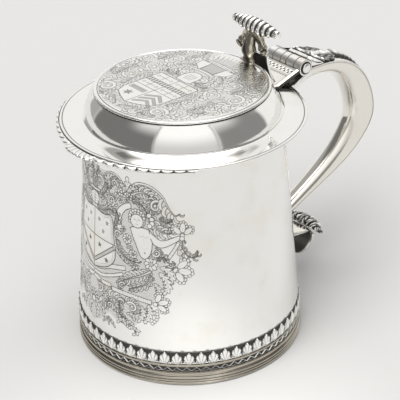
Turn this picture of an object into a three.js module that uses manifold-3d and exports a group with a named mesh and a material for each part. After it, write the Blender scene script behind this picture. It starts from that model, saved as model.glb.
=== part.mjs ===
// A hollow-handled silver tankard with a flat-topped hinged lid. Millimetres, +Z up.
// The handle points along +X, and the crenate lip and the engraved arms face -X.

import * as THREE from 'three';
import { mergeVertices } from 'three/addons/utils/BufferGeometryUtils.js';
import Module from 'manifold-3d';

const wasm = await Module();
wasm.setup();

// ---- driving dimensions ----

const GAP = 0.3;
const ROUND = 48;
const SMALL_ROUND = 24;

// body
const FOOT_RADIUS = 69;
const FOOT_INNER = 62;
const FOOT_TOP = 9.2;
const BAND_RADIUS = 68.4;
const SKIN_RADIUS = 66.9;
const SHOULDER = { radius: 67.4, z: 23.2 };
const RIM = { radius: 57.8, z: 142.6 };
const SHEET = 1.2;
const SKIN_BOTTOM = 4.1;
const FLOOR_Z = 7;
const MEANDER = { bottom: 9.5, top: 12.5 };
const BASE_FILLET = { bottom: 12.8, top: 14.3 };
const LEAVES = { bottom: 14.6, top: 22.5, count: 60 };
const LIP_MOULDING_BOTTOM = 137;

// lid
const FLANGE = { radius: 71.25, bottom: 143.1, top: 144.4 };
const LID_CROWN = { bottom: 158.5, top: 159.9 };
const DISC = { radius: 50.8, bottom: 160.2, top: 161.8 };
const BEZEL = { outer: 55.4, inner: 54.1, bottom: 137.5, outerTop: 143.7, innerTop: 144.8 };
const FRONT_LIP = { inner: 66.5, bottom: 141.9, top: 144.1, reach: 77.2, halfAngle: 58 };
const LOBES = { centreHalf: 9.5, perSide: 6, reach: 3.6, fade: 0.68 };

// hinge
const HINGE = { x: 82.2, z: 151.6, radius: 5.1, pin: 1.55, bore: 1.6, halfWidth: 15 };
const KNUCKLE_REACH = HINGE.radius + 0.35;
const HINGE_PLATE_RADIUS = 59.7;
const HINGE_COVER_START = 68;
const CENTRE_KNUCKLE = 2.3;
const END_KNUCKLE = 9.5;
const PIN_HEAD = { radius: 3.6, seat: 15.3, top: 16.9 };
const PIN_TAIL = { radius: 3, top: 16 };

// thumbpiece
const BAR = { x: 55.9, z: 181.5, halfLength: 20, radius: 5.3, tip: 1.7, ridges: 9 };
const ARM_SPREAD = 11.6;

// handle
const HANDLE_WIDTHS = [[0, 28.6], [0.08, 28], [0.3, 19.5], [0.48, 17.6], [0.85, 12.5], [1, 12]];
const HANDLE_DEPTHS = [[0, 10.5], [0.14, 9.3], [0.45, 19.3], [0.82, 7.2], [1, 5.5]];
const STRAP = 1.4;
const CHANNEL_SHEET = 1.3;
const RAT_TAIL = { start: 0.052, end: 0.305, plateEnd: 0.36, beads: 5, beadHeight: 0.6 };
const ROOT_HALF_WIDTH = 13.6;

// handle terminal
const SHIELD = { halfWidth: 13, bulge: 3.2, thickness: 1.3 };
const CREST = { x: 98.4, halfWidth: 17, endZ: 32.4, rise: 2.6 };

// ---- materials ----

const SILVER = { color: 0xd9d7d2, roughness: 0.22, metalness: 1 };
const OXIDISED = { color: 0xa9a59d, roughness: 0.38, metalness: 1 };
const WORN_PIN = { color: 0xb9b7b2, roughness: 0.3, metalness: 1 };

// ---- geometry helpers ----

const degrees = (angle) => THREE.MathUtils.degToRad(angle);

function signedVolume(geometry) {
  const position = geometry.attributes.position;
  const index = geometry.index.array;
  const corner = [new THREE.Vector3(), new THREE.Vector3(), new THREE.Vector3()];
  let volume = 0;
  for (let i = 0; i < index.length; i += 3) {
    corner.forEach((v, k) => v.fromBufferAttribute(position, index[i + k]));
    volume += corner[0].dot(corner[1].clone().cross(corner[2])) / 6;
  }
  return volume;
}

// One closed skin with shared vertices, no slivers, facing outward.
function closed(geometry) {
  geometry.deleteAttribute('normal');
  geometry.deleteAttribute('uv');
  const merged = mergeVertices(geometry, 1e-4);
  const index = merged.index.array;
  const kept = [];
  for (let i = 0; i < index.length; i += 3) {
    const [a, b, c] = [index[i], index[i + 1], index[i + 2]];
    if (a !== b && b !== c && c !== a) kept.push(a, b, c);
  }
  merged.setIndex(kept);
  if (signedVolume(merged) < 0) {
    for (let i = 0; i < kept.length; i += 3) {
      [kept[i], kept[i + 1]] = [kept[i + 1], kept[i]];
    }
    merged.setIndex(kept);
  }
  return merged;
}

function toSolid(geometry) {
  const { position } = geometry.attributes;
  return new wasm.Manifold(new wasm.Mesh({
    numProp: 3,
    vertProperties: new Float32Array(position.array),
    triVerts: new Uint32Array(geometry.index.array),
  }));
}

function toGeometry(solid) {
  const mesh = solid.getMesh();
  const geometry = new THREE.BufferGeometry();
  geometry.setAttribute('position', new THREE.BufferAttribute(mesh.vertProperties, 3));
  geometry.setIndex(new THREE.BufferAttribute(mesh.triVerts, 1));
  return geometry;
}

function cut(geometry, ...tools) {
  return toGeometry(tools.reduce((solid, tool) => solid.subtract(toSolid(tool)), toSolid(geometry)));
}

// A profile of [radius, z] points turned about +Z. It closes on itself unless it starts on the axis.
function turned(profile, segments = ROUND) {
  const loop = profile[0][0] === 0 ? profile : [...profile, profile[0]];
  const geometry = new THREE.LatheGeometry(loop.map(([r, z]) => new THREE.Vector2(r, z)), segments);
  geometry.rotateX(Math.PI / 2);
  return closed(geometry);
}

// The same, turned about the line through (x, z) that runs along Y; its points are [radius, y].
function turnedAlongY(profile, x, z, segments = SMALL_ROUND) {
  const geometry = turned(profile, segments);
  geometry.rotateX(-Math.PI / 2);
  geometry.translate(x, 0, z);
  return closed(geometry);
}

// A side view, as [x, z] points, given a width across Y.
function plateAcross(points, halfWidth) {
  const shape = new THREE.Shape(points.map(([x, z]) => new THREE.Vector2(x, z)));
  const geometry = new THREE.ExtrudeGeometry(shape, { depth: 2 * halfWidth, bevelEnabled: false });
  geometry.rotateX(Math.PI / 2);
  geometry.translate(0, halfWidth, 0);
  return closed(geometry);
}

// A plan view, as [x, y] points, raised from one height to another.
function raised(points, bottom, top) {
  const shape = new THREE.Shape(points.map(([x, y]) => new THREE.Vector2(x, y)));
  const geometry = new THREE.ExtrudeGeometry(shape, { depth: top - bottom, bevelEnabled: false });
  geometry.translate(0, 0, bottom);
  return closed(geometry);
}

// Corner numbers of the triangles that fill an outline, wound the way that its points run.
function capTriangles(outline, first) {
  const corners = THREE.ShapeUtils.triangulateShape(outline, []).flat().map((k) => first + k);
  return THREE.ShapeUtils.isClockWise(outline) ? corners.reverse() : corners;
}

// Skin over a row of stations. Each has a centre, two directions and an outline of Vector2 in them.
function swept(stations) {
  const count = stations[0].outline.length;
  const positions = [];
  for (const { centre, across, out, outline } of stations) {
    for (const point of outline) {
      const corner = centre.clone().addScaledVector(across, point.x).addScaledVector(out, point.y);
      positions.push(corner.x, corner.y, corner.z);
    }
  }
  const index = [];
  for (let s = 0; s + 1 < stations.length; s += 1) {
    for (let k = 0; k < count; k += 1) {
      const a = s * count + k;
      const b = s * count + ((k + 1) % count);
      index.push(a, b, b + count, a, b + count, a + count);
    }
  }
  const last = (stations.length - 1) * count;
  index.push(...capTriangles(stations[0].outline, 0).reverse());
  index.push(...capTriangles(stations.at(-1).outline, last));
  const geometry = new THREE.BufferGeometry();
  geometry.setAttribute('position', new THREE.Float32BufferAttribute(positions, 3));
  geometry.setIndex(index);
  return closed(geometry);
}

// A ring whose top edge rises and falls round the body.
function crestedRing(inner, outer, bottom, topAt, steps) {
  const stations = [];
  for (let i = 0; i <= steps; i += 1) {
    const angle = (2 * Math.PI * i) / steps;
    stations.push({ angle, top: topAt(i % steps) });
  }
  const positions = [];
  for (const { angle, top } of stations) {
    for (const [r, z] of [[inner, bottom], [outer, bottom], [outer, top], [inner, top]]) {
      positions.push(r * Math.cos(angle), r * Math.sin(angle), z);
    }
  }
  const index = [];
  for (let s = 0; s < steps; s += 1) {
    for (let k = 0; k < 4; k += 1) {
      const a = 4 * s + k;
      const b = 4 * s + ((k + 1) % 4);
      index.push(a, b, b + 4, a, b + 4, a + 4);
    }
  }
  const geometry = new THREE.BufferGeometry();
  geometry.setAttribute('position', new THREE.Float32BufferAttribute(positions, 3));
  geometry.setIndex(index);
  return closed(geometry);
}

// Value at t of a few [t, value] keys, eased between them.
function eased(keys, t) {
  const next = keys.findIndex(([at]) => at >= t);
  if (next <= 0) return keys[0][1];
  const [t0, v0] = keys[next - 1];
  const [t1, v1] = keys[next];
  return THREE.MathUtils.lerp(v0, v1, THREE.MathUtils.smoothstep(t, t0, t1));
}

function circleOutline(radius, sides = 12, stretch = 1) {
  return Array.from({ length: sides }, (_, k) => {
    const angle = (2 * Math.PI * k) / sides;
    return new THREE.Vector2(radius * Math.cos(angle), stretch * radius * Math.sin(angle));
  });
}

const Y_AXIS = new THREE.Vector3(0, 1, 0);

// Stations along a curve in the XZ plane, with `out` to the left of travel turned outward.
function sideStations(curve, count, outlineAt) {
  return Array.from({ length: count + 1 }, (_, i) => {
    const t = i / count;
    const out = new THREE.Vector3().crossVectors(Y_AXIS, curve.getTangentAt(t)).negate();
    return { centre: curve.getPointAt(t), across: Y_AXIS, out, outline: outlineAt(t) };
  });
}

function sideCurve(points) {
  const corners = points.map(([x, z]) => new THREE.Vector3(x, 0, z));
  return new THREE.CatmullRomCurve3(corners, false, 'centripetal');
}

// ---- the group and its nodes ----

const tankard = new THREE.Group();

function node(name, geometry, finish = SILVER) {
  const shown = geometry.toNonIndexed();
  shown.computeVertexNormals();
  const mesh = new THREE.Mesh(shown, new THREE.MeshStandardMaterial(finish));
  mesh.name = name;
  tankard.add(mesh);
}

// ---- body ----

const taper = (SHOULDER.radius - RIM.radius) / (RIM.z - SHOULDER.z);
const skinRadius = (z) => SHOULDER.radius - taper * (z - SHOULDER.z);

function addBody() {
  const bandInner = SKIN_RADIUS + GAP;
  node('barrel', turned([
    [SKIN_RADIUS, SKIN_BOTTOM],
    [SKIN_RADIUS, SHOULDER.z - 0.6],
    [SHOULDER.radius, SHOULDER.z],
    [RIM.radius, RIM.z],
    [RIM.radius - SHEET, RIM.z],
    [SHOULDER.radius - SHEET, SHOULDER.z],
    [SKIN_RADIUS - SHEET, SHOULDER.z - 0.6],
    [SKIN_RADIUS - SHEET, SKIN_BOTTOM],
  ]));
  node('floor_plate', turned([
    [0, FLOOR_Z],
    [SKIN_RADIUS - SHEET - GAP, FLOOR_Z],
    [SKIN_RADIUS - SHEET - GAP, FLOOR_Z + SHEET],
    [0, FLOOR_Z + SHEET],
  ]));
  node('foot_moulding', turned([
    [FOOT_INNER, 0],
    [FOOT_RADIUS - 0.9, 0],
    [FOOT_RADIUS, 1],
    [FOOT_RADIUS - 0.4, 2.2],
    [FOOT_RADIUS, 3.2],
    [FOOT_RADIUS - 0.4, 5.4],
    [FOOT_RADIUS - 1.5, 6.4],
    [FOOT_RADIUS - 0.7, FOOT_TOP],
    [bandInner, FOOT_TOP],
    [bandInner, SKIN_BOTTOM - GAP],
    [FOOT_INNER, SKIN_BOTTOM - GAP],
  ]));
  node('foot_meander_wire', turned([
    [bandInner, MEANDER.bottom],
    [BAND_RADIUS, MEANDER.bottom],
    [BAND_RADIUS, MEANDER.top],
    [bandInner, MEANDER.top],
  ]), OXIDISED);
  node('base_fillet', turned([
    [bandInner, BASE_FILLET.bottom],
    [BAND_RADIUS - 0.2, BASE_FILLET.bottom],
    [BAND_RADIUS + 0.3, (BASE_FILLET.bottom + BASE_FILLET.top) / 2],
    [BAND_RADIUS - 0.2, BASE_FILLET.top],
    [bandInner, BASE_FILLET.top],
  ]));
  const leafTop = [LEAVES.top - 4, LEAVES.top];
  node('leaf_band', crestedRing(bandInner, BAND_RADIUS, LEAVES.bottom,
    (i) => leafTop[i % leafTop.length], leafTop.length * LEAVES.count), OXIDISED);
  const lip = (z, proud) => [skinRadius(z) + GAP + proud, z];
  node('lip_moulding', turned([
    lip(LIP_MOULDING_BOTTOM, 0),
    lip(LIP_MOULDING_BOTTOM + 0.4, 0.8),
    lip(LIP_MOULDING_BOTTOM + 2.4, 0.6),
    lip(RIM.z - 1, 1.3),
    lip(RIM.z - 0.2, 0),
  ]));
}

// Everything that is inside the body's skin, with a solder gap round it.
function bodySpace() {
  return turned([
    [0, SHOULDER.z - 10],
    [SHOULDER.radius + GAP, SHOULDER.z - 10],
    [SHOULDER.radius + GAP, SHOULDER.z],
    [RIM.radius + GAP, RIM.z],
    [RIM.radius + GAP, RIM.z + 10],
    [0, RIM.z + 10],
  ]);
}

// ---- lid ----

function addLid() {
  node('lid_shell', turned([
    [0, LID_CROWN.top],
    [49.6, LID_CROWN.top],
    [52, 157.6],
    [55.2, 154.6],
    [57, 150.6],
    [56.6, 147.9],
    [57.6, 147],
    [59.2, 145.5],
    [62.5, FLANGE.top + 0.2],
    [FLANGE.radius, FLANGE.top],
    [FLANGE.radius, FLANGE.bottom],
    [60.6, FLANGE.bottom],
    [55.4, 146.8],
    [57 - SHEET, 150.4],
    [54.8 - SHEET, 153.6],
    [48.6, LID_CROWN.bottom],
    [0, LID_CROWN.bottom],
  ]));
  node('lid_top_disc', turned([
    [0, DISC.bottom],
    [DISC.radius - 0.5, DISC.bottom],
    [DISC.radius, DISC.bottom + 0.5],
    [DISC.radius, DISC.top - 0.5],
    [DISC.radius - 0.5, DISC.top],
    [0, DISC.top],
  ]));
  node('lid_bezel', turned([
    [BEZEL.inner, BEZEL.bottom],
    [BEZEL.outer, BEZEL.bottom],
    [BEZEL.outer, BEZEL.outerTop],
    [BEZEL.inner, BEZEL.innerTop],
  ]));
  node('front_lip', frontLip(), OXIDISED);
}

// The crenate lip: a broad central lobe, and smaller ones that die away on each side of it.
function lipReach(angle) {
  const valley = FLANGE.radius + 0.7;
  const side = Math.abs(angle);
  if (side < LOBES.centreHalf) {
    const round = Math.sqrt(1 - (side / LOBES.centreHalf) ** 4);
    return THREE.MathUtils.lerp(valley + 0.8, FRONT_LIP.reach, round);
  }
  const turn = (LOBES.perSide * (side - LOBES.centreHalf)) / (FRONT_LIP.halfAngle - LOBES.centreHalf);
  const swell = Math.sqrt(Math.abs(Math.sin(Math.PI * turn)));
  return valley + swell * LOBES.reach * LOBES.fade ** Math.floor(turn);
}

function frontLip() {
  const steps = 84;
  const outline = [];
  const addPoint = (radius, angle) => outline.push([
    -radius * Math.cos(degrees(angle)),
    -radius * Math.sin(degrees(angle)),
  ]);
  for (let i = 0; i <= steps; i += 1) {
    const angle = FRONT_LIP.halfAngle * ((2 * i) / steps - 1);
    addPoint(lipReach(angle), angle);
  }
  for (let i = steps; i >= 0; i -= 4) {
    addPoint(FRONT_LIP.inner, FRONT_LIP.halfAngle * ((2 * i) / steps - 1));
  }
  const underFlange = FLANGE.bottom - GAP;
  const flangeSpace = turned([
    [0, underFlange],
    [FLANGE.radius + GAP, underFlange],
    [FLANGE.radius + GAP, HINGE.z],
    [0, HINGE.z],
  ], 2 * ROUND);
  return cut(raised(outline, FRONT_LIP.bottom, FRONT_LIP.top), flangeSpace);
}

// ---- hinge ----

function knuckle(from, to) {
  return turnedAlongY([
    [HINGE.bore, from],
    [HINGE.radius, from],
    [HINGE.radius, to],
    [HINGE.bore, to],
  ], HINGE.x, HINGE.z);
}

// The domed head that closes one end of the pin.
function pinEnd(side, radius, top) {
  return turnedAlongY([
    [0, side * PIN_HEAD.seat],
    [radius, side * PIN_HEAD.seat],
    [radius * 0.9, side * (PIN_HEAD.seat + 0.6 * (top - PIN_HEAD.seat))],
    [radius * 0.5, side * (top - 0.15)],
    [0, side * top],
  ], HINGE.x, HINGE.z);
}

function addHinge() {
  const split = END_KNUCKLE - GAP;
  node('fixed_knuckle_right', knuckle(-HINGE.halfWidth, -END_KNUCKLE));
  node('fixed_knuckle_centre', knuckle(-CENTRE_KNUCKLE, CENTRE_KNUCKLE));
  node('fixed_knuckle_left', knuckle(END_KNUCKLE, HINGE.halfWidth));
  node('lid_knuckle_right', knuckle(-split, -CENTRE_KNUCKLE - GAP));
  node('lid_knuckle_left', knuckle(CENTRE_KNUCKLE + GAP, split));
  node('hinge_pin', turnedAlongY([
    [0, GAP - PIN_HEAD.seat],
    [HINGE.pin, GAP - PIN_HEAD.seat],
    [HINGE.pin, PIN_HEAD.seat - GAP],
    [0, PIN_HEAD.seat - GAP],
  ], HINGE.x, HINGE.z), WORN_PIN);
  node('pin_head', pinEnd(-1, PIN_HEAD.radius, PIN_HEAD.top));
  node('pin_rivet', pinEnd(1, PIN_TAIL.radius, PIN_TAIL.top));
  node('lid_hinge_plate', hingePlate());
}

function hingePlate() {
  const end = HINGE.x - KNUCKLE_REACH;
  const side = plateAcross([
    [54, 145.3],
    [61.5, 145.5],
    [70, 147.6],
    [end, 149.6],
    [end, 151.9],
    [70, 149.8],
    [60, 146.6],
    [54, 146.4],
  ], HINGE.halfWidth);
  const dome = turned([
    [0, RIM.z],
    [HINGE_PLATE_RADIUS, RIM.z],
    [HINGE_PLATE_RADIUS, HINGE.z],
    [0, HINGE.z],
  ]);
  return cut(side, dome);
}

// ---- thumbpiece ----

function thumbBar(clearance = 0) {
  const profile = [[0, -BAR.halfLength - clearance]];
  const steps = 2 * BAR.ridges;
  for (let i = 0; i <= steps; i += 1) {
    const t = (2 * i) / steps - 1;
    const swell = THREE.MathUtils.lerp(BAR.tip, BAR.radius, 1 - Math.abs(t) ** 1.9);
    const groove = i % 2 ? 0 : 0.7;
    profile.push([swell - groove + clearance, t * (BAR.halfLength - 0.5 + clearance)]);
  }
  profile.push([0, BAR.halfLength + clearance]);
  return turnedAlongY(profile, BAR.x, BAR.z, 16);
}

const STEM_RADII = [[0, 3.1], [0.12, 2.7], [0.3, 3.9], [0.75, 2.3], [1, 3.6]];

function thumbStem(clearance = 0) {
  const foot = DISC.top + GAP;
  const curve = sideCurve([[50.2, foot], [49.9, 166.5], [51.3, 173], [54.6, 180]]);
  return swept(sideStations(curve, 10, (t) => circleOutline(eased(STEM_RADII, t) + clearance)));
}

// One side arm, from under the bar out and down to its knot.
function thumbArm(side) {
  const curve = new THREE.CatmullRomCurve3([
    new THREE.Vector3(53, side * 1, 176.5),
    new THREE.Vector3(53.4, side * 6, 174.6),
    new THREE.Vector3(53, side * 9.6, 171.6),
    new THREE.Vector3(52.6, side * ARM_SPREAD, 168),
  ]);
  const across = new THREE.Vector3(1, 0, 0);
  const steps = 8;
  const stations = [];
  for (let i = 0; i <= steps; i += 1) {
    const t = i / steps;
    const out = new THREE.Vector3().crossVectors(curve.getTangentAt(t), across).normalize();
    const outline = circleOutline(eased([[0, 1.7], [0.7, 1.5], [1, 1.2]], t), 8);
    stations.push({ centre: curve.getPointAt(t), across, out, outline });
  }
  return cut(swept(stations), thumbStem(GAP), thumbBar(GAP));
}

// The back plate that braces the thumbpiece down to the hinge plate.
function thumbApron() {
  const slab = plateAcross([
    [52.6, 166.2],
    [58.4, 148.3],
    [59.9, 148.3],
    [54.1, 166.2],
  ], ARM_SPREAD + 0.6);
  return cut(slab, thumbStem(GAP));
}

function addThumbpiece() {
  node('thumb_bar', thumbBar(), OXIDISED);
  node('thumb_stem', cut(thumbStem(), thumbBar(GAP)));
  node('thumb_arm_right', thumbArm(-1), OXIDISED);
  node('thumb_arm_left', thumbArm(1), OXIDISED);
  node('thumb_apron', thumbApron(), OXIDISED);
}

// ---- handle ----

const strapCurve = sideCurve([
  [87.9, 150.3],
  [97.5, 149.7],
  [106, 147.4],
  [118, 143.8],
  [128.5, 138],
  [140, 125.6],
  [148.2, 111.5],
  [150.6, 100],
  [147.2, 89.6],
  [139.4, 80],
  [127.6, 69.4],
  [112, 61.3],
  [95.4, 54.2],
  [81.7, 47.8],
  [70, 42.2],
]);

function channelOutline(t) {
  const half = eased(HANDLE_WIDTHS, t) / 2 - 0.4;
  const depth = eased(HANDLE_DEPTHS, t);
  const top = -STRAP - GAP;
  const arc = (wide, deep) => Array.from({ length: 9 }, (_, k) => {
    const angle = (Math.PI * k) / 8;
    return new THREE.Vector2(wide * Math.cos(angle), top - deep * Math.sin(angle));
  });
  const outer = arc(half, depth + top);
  const inner = arc(half - CHANNEL_SHEET, depth + top - CHANNEL_SHEET);
  return [...outer, ...inner.reverse()];
}

function strapOutline(t) {
  const half = eased(HANDLE_WIDTHS, t) / 2;
  return [
    new THREE.Vector2(-half, -0.4),
    new THREE.Vector2(-half + 0.3, -STRAP),
    new THREE.Vector2(half - 0.3, -STRAP),
    new THREE.Vector2(half, -0.4),
    new THREE.Vector2(half - 0.5, 0),
    new THREE.Vector2(-half + 0.5, 0),
  ];
}

// The cast rat-tail on the strap: a leafy plate that runs out into a row of shrinking beads.
function ratTail() {
  const { start, end, plateEnd, beads, beadHeight } = RAT_TAIL;
  const steps = 26;
  const stations = [];
  for (let i = 0; i <= steps; i += 1) {
    const t = i / steps;
    const along = THREE.MathUtils.lerp(start, end, t);
    const half = eased([[0, 13.4], [0.14, 12.8], [plateEnd, 4.6], [1, 1.7]], t);
    const wave = (beads * Math.PI * (t - plateEnd)) / (1 - plateEnd);
    const bead = t > plateEnd ? beadHeight * Math.abs(Math.sin(wave)) : 0;
    const height = eased([[0, 1.2], [0.3, 1.8], [1, 1]], t) + bead;
    const out = new THREE.Vector3().crossVectors(Y_AXIS, strapCurve.getTangentAt(along)).negate();
    stations.push({
      centre: strapCurve.getPointAt(along).addScaledVector(out, GAP),
      across: Y_AXIS,
      out,
      outline: [
        new THREE.Vector2(-half, 0),
        new THREE.Vector2(half, 0),
        new THREE.Vector2(half * 0.8, height * 0.7),
        new THREE.Vector2(0, height),
        new THREE.Vector2(-half * 0.8, height * 0.7),
      ],
    });
  }
  return swept(stations);
}

// Points of the hollow that the knuckles turn in, from one angle to another.
function knuckleHollow(from, to, count) {
  return Array.from({ length: count + 1 }, (_, k) => {
    const angle = degrees(THREE.MathUtils.lerp(from, to, k / count));
    return [HINGE.x + KNUCKLE_REACH * Math.cos(angle), HINGE.z + KNUCKLE_REACH * Math.sin(angle)];
  });
}

// The block of the upper joint: under the lid's flange from the body to the hinge.
function handleRoot(space) {
  const block = plateAcross([
    [54, 133.6],
    [76, 136.8],
    [86.8, 139.8],
    ...knuckleHollow(-32, -95, 6),
    [74.2, FLANGE.bottom - 0.6],
    [54, FLANGE.bottom - 0.6],
  ], ROOT_HALF_WIDTH);
  const moulding = turned([
    [0, LIP_MOULDING_BOTTOM - 0.4],
    [skinRadius(LIP_MOULDING_BOTTOM) + 2, LIP_MOULDING_BOTTOM - 0.4],
    [skinRadius(LIP_MOULDING_BOTTOM) + 2, RIM.z + 2],
    [0, RIM.z + 2],
  ]);
  return cut(block, space, moulding);
}

// The smooth cover that runs from the knuckles down to the strap.
function hingeCover() {
  return plateAcross([
    ...knuckleHollow(HINGE_COVER_START, -6, 8),
    [97.3, 150.1],
    [97.3, 151],
    [92, 151.9],
    [87.6, 154.6],
    [84.4, 157],
  ], HINGE.halfWidth - 0.6);
}

// ---- handle terminal ----

// The tail that curls out from the body below the lower joint.
function handleTail(space) {
  const curve = sideCurve([[66, 43.8], [70.5, 36.5], [79, 32.2], [92.4, 31.4]]);
  const outlineAt = (t) => {
    const half = eased([[0, 5.5], [0.5, 6.5], [1, 9]], t);
    const thick = eased([[0, 5], [0.5, 4], [1, 2.4]], t);
    return [
      new THREE.Vector2(-half, -thick / 2),
      new THREE.Vector2(half, -thick / 2),
      new THREE.Vector2(half, thick / 2 - 0.6),
      new THREE.Vector2(half - 0.8, thick / 2),
      new THREE.Vector2(-half + 0.8, thick / 2),
      new THREE.Vector2(-half, thick / 2 - 0.6),
    ];
  };
  return cut(swept(sideStations(curve, 12, outlineAt)), space, handleSpace());
}

// The handle's lower run, thick enough to keep the tail off it.
function handleSpace() {
  const outline = [
    new THREE.Vector2(-8, -12),
    new THREE.Vector2(8, -12),
    new THREE.Vector2(8, GAP),
    new THREE.Vector2(-8, GAP),
  ];
  return swept(sideStations(strapCurve, 40, () => outline).slice(-8));
}

// A dished shield hung from the tail, hollow towards the body.
function terminalShield() {
  const curve = sideCurve([[93.4, 30.8], [92.6, 24], [88.5, 13.6]]);
  const outlineAt = (t) => {
    const half = SHIELD.halfWidth * Math.sqrt(1 - 0.98 * t * t);
    const bulge = SHIELD.bulge * Math.sqrt(1 - 0.9 * t * t);
    const rise = (s) => bulge * (1 - s * s);
    const across = [-1, -0.75, -0.45, -0.15, 0.15, 0.45, 0.75, 1];
    const front = across.map((s) => new THREE.Vector2(s * half, rise(s)));
    const back = across.map((s) => new THREE.Vector2(s * half * 0.96, rise(s) - SHIELD.thickness)).reverse();
    return [...front, ...back];
  };
  return swept(sideStations(curve, 10, outlineAt));
}

// The leafy crest across the top of the shield.
function terminalCrest() {
  const steps = 16;
  const across = new THREE.Vector3(1, 0, 0);
  const out = new THREE.Vector3(0, 0, 1);
  const stations = [];
  for (let i = 0; i <= steps; i += 1) {
    const t = (2 * i) / steps - 1;
    const z = CREST.endZ + CREST.rise * (1 - t * t);
    const centre = new THREE.Vector3(CREST.x, t * CREST.halfWidth, z);
    const size = 0.9 + 1.9 * (1 - t * t) + (i % 2 ? 0.3 : 0);
    stations.push({ centre, across, out, outline: circleOutline(size, 8, 0.7) });
  }
  return swept(stations);
}

function addHandle() {
  const space = bodySpace();
  node('handle_strap', cut(swept(sideStations(strapCurve, 36, strapOutline)), space));
  node('handle_channel', cut(swept(sideStations(strapCurve, 36, channelOutline)), space));
  node('handle_root', handleRoot(space));
  node('hinge_cover', hingeCover());
  node('rat_tail', ratTail(), OXIDISED);
  node('handle_tail', handleTail(space));
  node('terminal_crest', terminalCrest(), OXIDISED);
  node('terminal_shield', terminalShield());
}

addBody();
addLid();
addHinge();
addThumbpiece();
addHandle();

// The origin is the middle of the whole object's outline on the table, not the middle of the foot.
const outline = new THREE.Box3().setFromObject(tankard);
tankard.position.x = -(outline.min.x + outline.max.x) / 2;
tankard.updateMatrixWorld(true);

export default tankard;
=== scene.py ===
"""A silver tankard: the looks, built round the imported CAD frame.

Lengths are in millimetres from the barrel's own axis until a mesh is made.
"""
import math

import bpy
import numpy as np
from mathutils import Matrix, Vector


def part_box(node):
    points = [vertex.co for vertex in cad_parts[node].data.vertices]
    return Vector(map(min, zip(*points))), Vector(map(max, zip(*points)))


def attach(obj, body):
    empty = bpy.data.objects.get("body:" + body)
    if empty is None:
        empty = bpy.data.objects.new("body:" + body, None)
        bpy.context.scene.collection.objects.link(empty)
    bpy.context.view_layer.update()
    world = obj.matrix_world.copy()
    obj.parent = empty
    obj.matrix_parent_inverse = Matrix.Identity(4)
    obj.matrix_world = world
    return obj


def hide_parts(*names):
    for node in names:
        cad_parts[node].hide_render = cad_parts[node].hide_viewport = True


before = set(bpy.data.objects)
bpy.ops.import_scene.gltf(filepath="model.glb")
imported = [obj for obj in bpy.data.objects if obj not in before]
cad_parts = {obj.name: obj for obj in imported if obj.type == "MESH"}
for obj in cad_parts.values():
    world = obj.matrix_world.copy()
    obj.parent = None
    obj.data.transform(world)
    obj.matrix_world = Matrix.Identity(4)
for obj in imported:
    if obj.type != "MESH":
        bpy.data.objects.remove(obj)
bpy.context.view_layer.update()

MM = 0.001
foot_low, foot_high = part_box("foot_moulding")
AXIS_X = (foot_low.x + foot_high.x) / 2

# the bodies of the part
BODY, LID = "tankard_body", "lid"

# sizes shared with the CAD; pairs are (radius, z), or (x, z) for the hinge's own axis
FLANGE_RADIUS = 71.25
SHOULDER = (67.4, 23.2)
RIM = (57.8, 142.6)
SHEET = 1.2
BAND_INNER = 67.2
HINGE = (82.2, 151.6)
HINGE_HOLLOW = 5.45
LEAVES = 60
ZIGZAGS = 76

# the engraving is laid out on both sides of this direction, in degrees from -X towards +Y
ARMS_TURN = -6.3
UNROLL_RADIUS = 64.0
SHEET_STEP = 0.25
LID_ARMS_SHIFT = -3.7
BARREL_CUT, LID_CUT = 0.1, 0.09


def skin_radius(z):
    return SHOULDER[0] - (SHOULDER[0] - RIM[0]) * (z - SHOULDER[1]) / (RIM[1] - SHOULDER[1])


# ---- making meshes ----

def unit(value):
    """The value held between 0 and 1."""
    return np.clip(value, 0, 1)


def hump(value, middle, spread):
    """A soft hump of height 1."""
    return np.exp(-((value - middle) / spread) ** 2)


def circle(count):
    """Even angles once round."""
    return np.linspace(0, 2 * math.pi, count, endpoint=False)


def squared(wave, power):
    """A sine or cosine whose circle is squared off by a power below 1."""
    return np.sign(wave) * np.abs(wave) ** power


def place(points):
    """Millimetres from the barrel's axis to metres in the frame."""
    out = np.array(points, float) * MM
    out[..., 0] += AXIS_X
    return out


def add_mesh(name, points, quads, triangles=(), shade=None):
    """A mesh with its faces turned outwards; shade is the soot and painted shade on each point, from 0 to 1.
    """
    points = place(points)
    quads = np.asarray(quads, int).reshape(-1, 4)
    triangles = np.asarray(triangles, int).reshape(-1, 3)
    corners = np.vstack([quads[:, :3], quads[:, [0, 2, 3]], triangles])
    a, b, c = (points[corners[:, k]] for k in range(3))
    if np.einsum("ij,ij->i", a, np.cross(b, c)).sum() < 0:
        quads, triangles = quads[:, ::-1], triangles[:, ::-1]
    mesh = bpy.data.meshes.new(name)
    mesh.vertices.add(len(points))
    mesh.vertices.foreach_set("co", points.astype(np.float32).ravel())
    loops = np.concatenate([quads.ravel(), triangles.ravel()])
    mesh.loops.add(len(loops))
    mesh.loops.foreach_set("vertex_index", loops.astype(np.int32))
    mesh.polygons.add(len(quads) + len(triangles))
    starts = np.concatenate([4 * np.arange(len(quads)), quads.size + 3 * np.arange(len(triangles))])
    mesh.polygons.foreach_set("loop_start", starts.astype(np.int32))
    mesh.update(calc_edges=True)
    mesh.validate()
    if shade is not None:
        layer = mesh.attributes.new("dark", "FLOAT", "POINT")
        layer.data.foreach_set("value", np.asarray(shade, np.float32).ravel())
    piece = bpy.data.objects.new(name, mesh)
    bpy.context.scene.collection.objects.link(piece)
    return piece


def finish_piece(piece, body, node, material, sharp=40):
    """Looks, body and, where node is given, the hidden CAD node that the piece stands in for."""
    piece.data.materials.append(material)
    piece.data.shade_smooth()
    piece.data.set_sharp_from_angle(angle=math.radians(sharp))
    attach(piece, body)
    if node:
        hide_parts(node)


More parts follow.
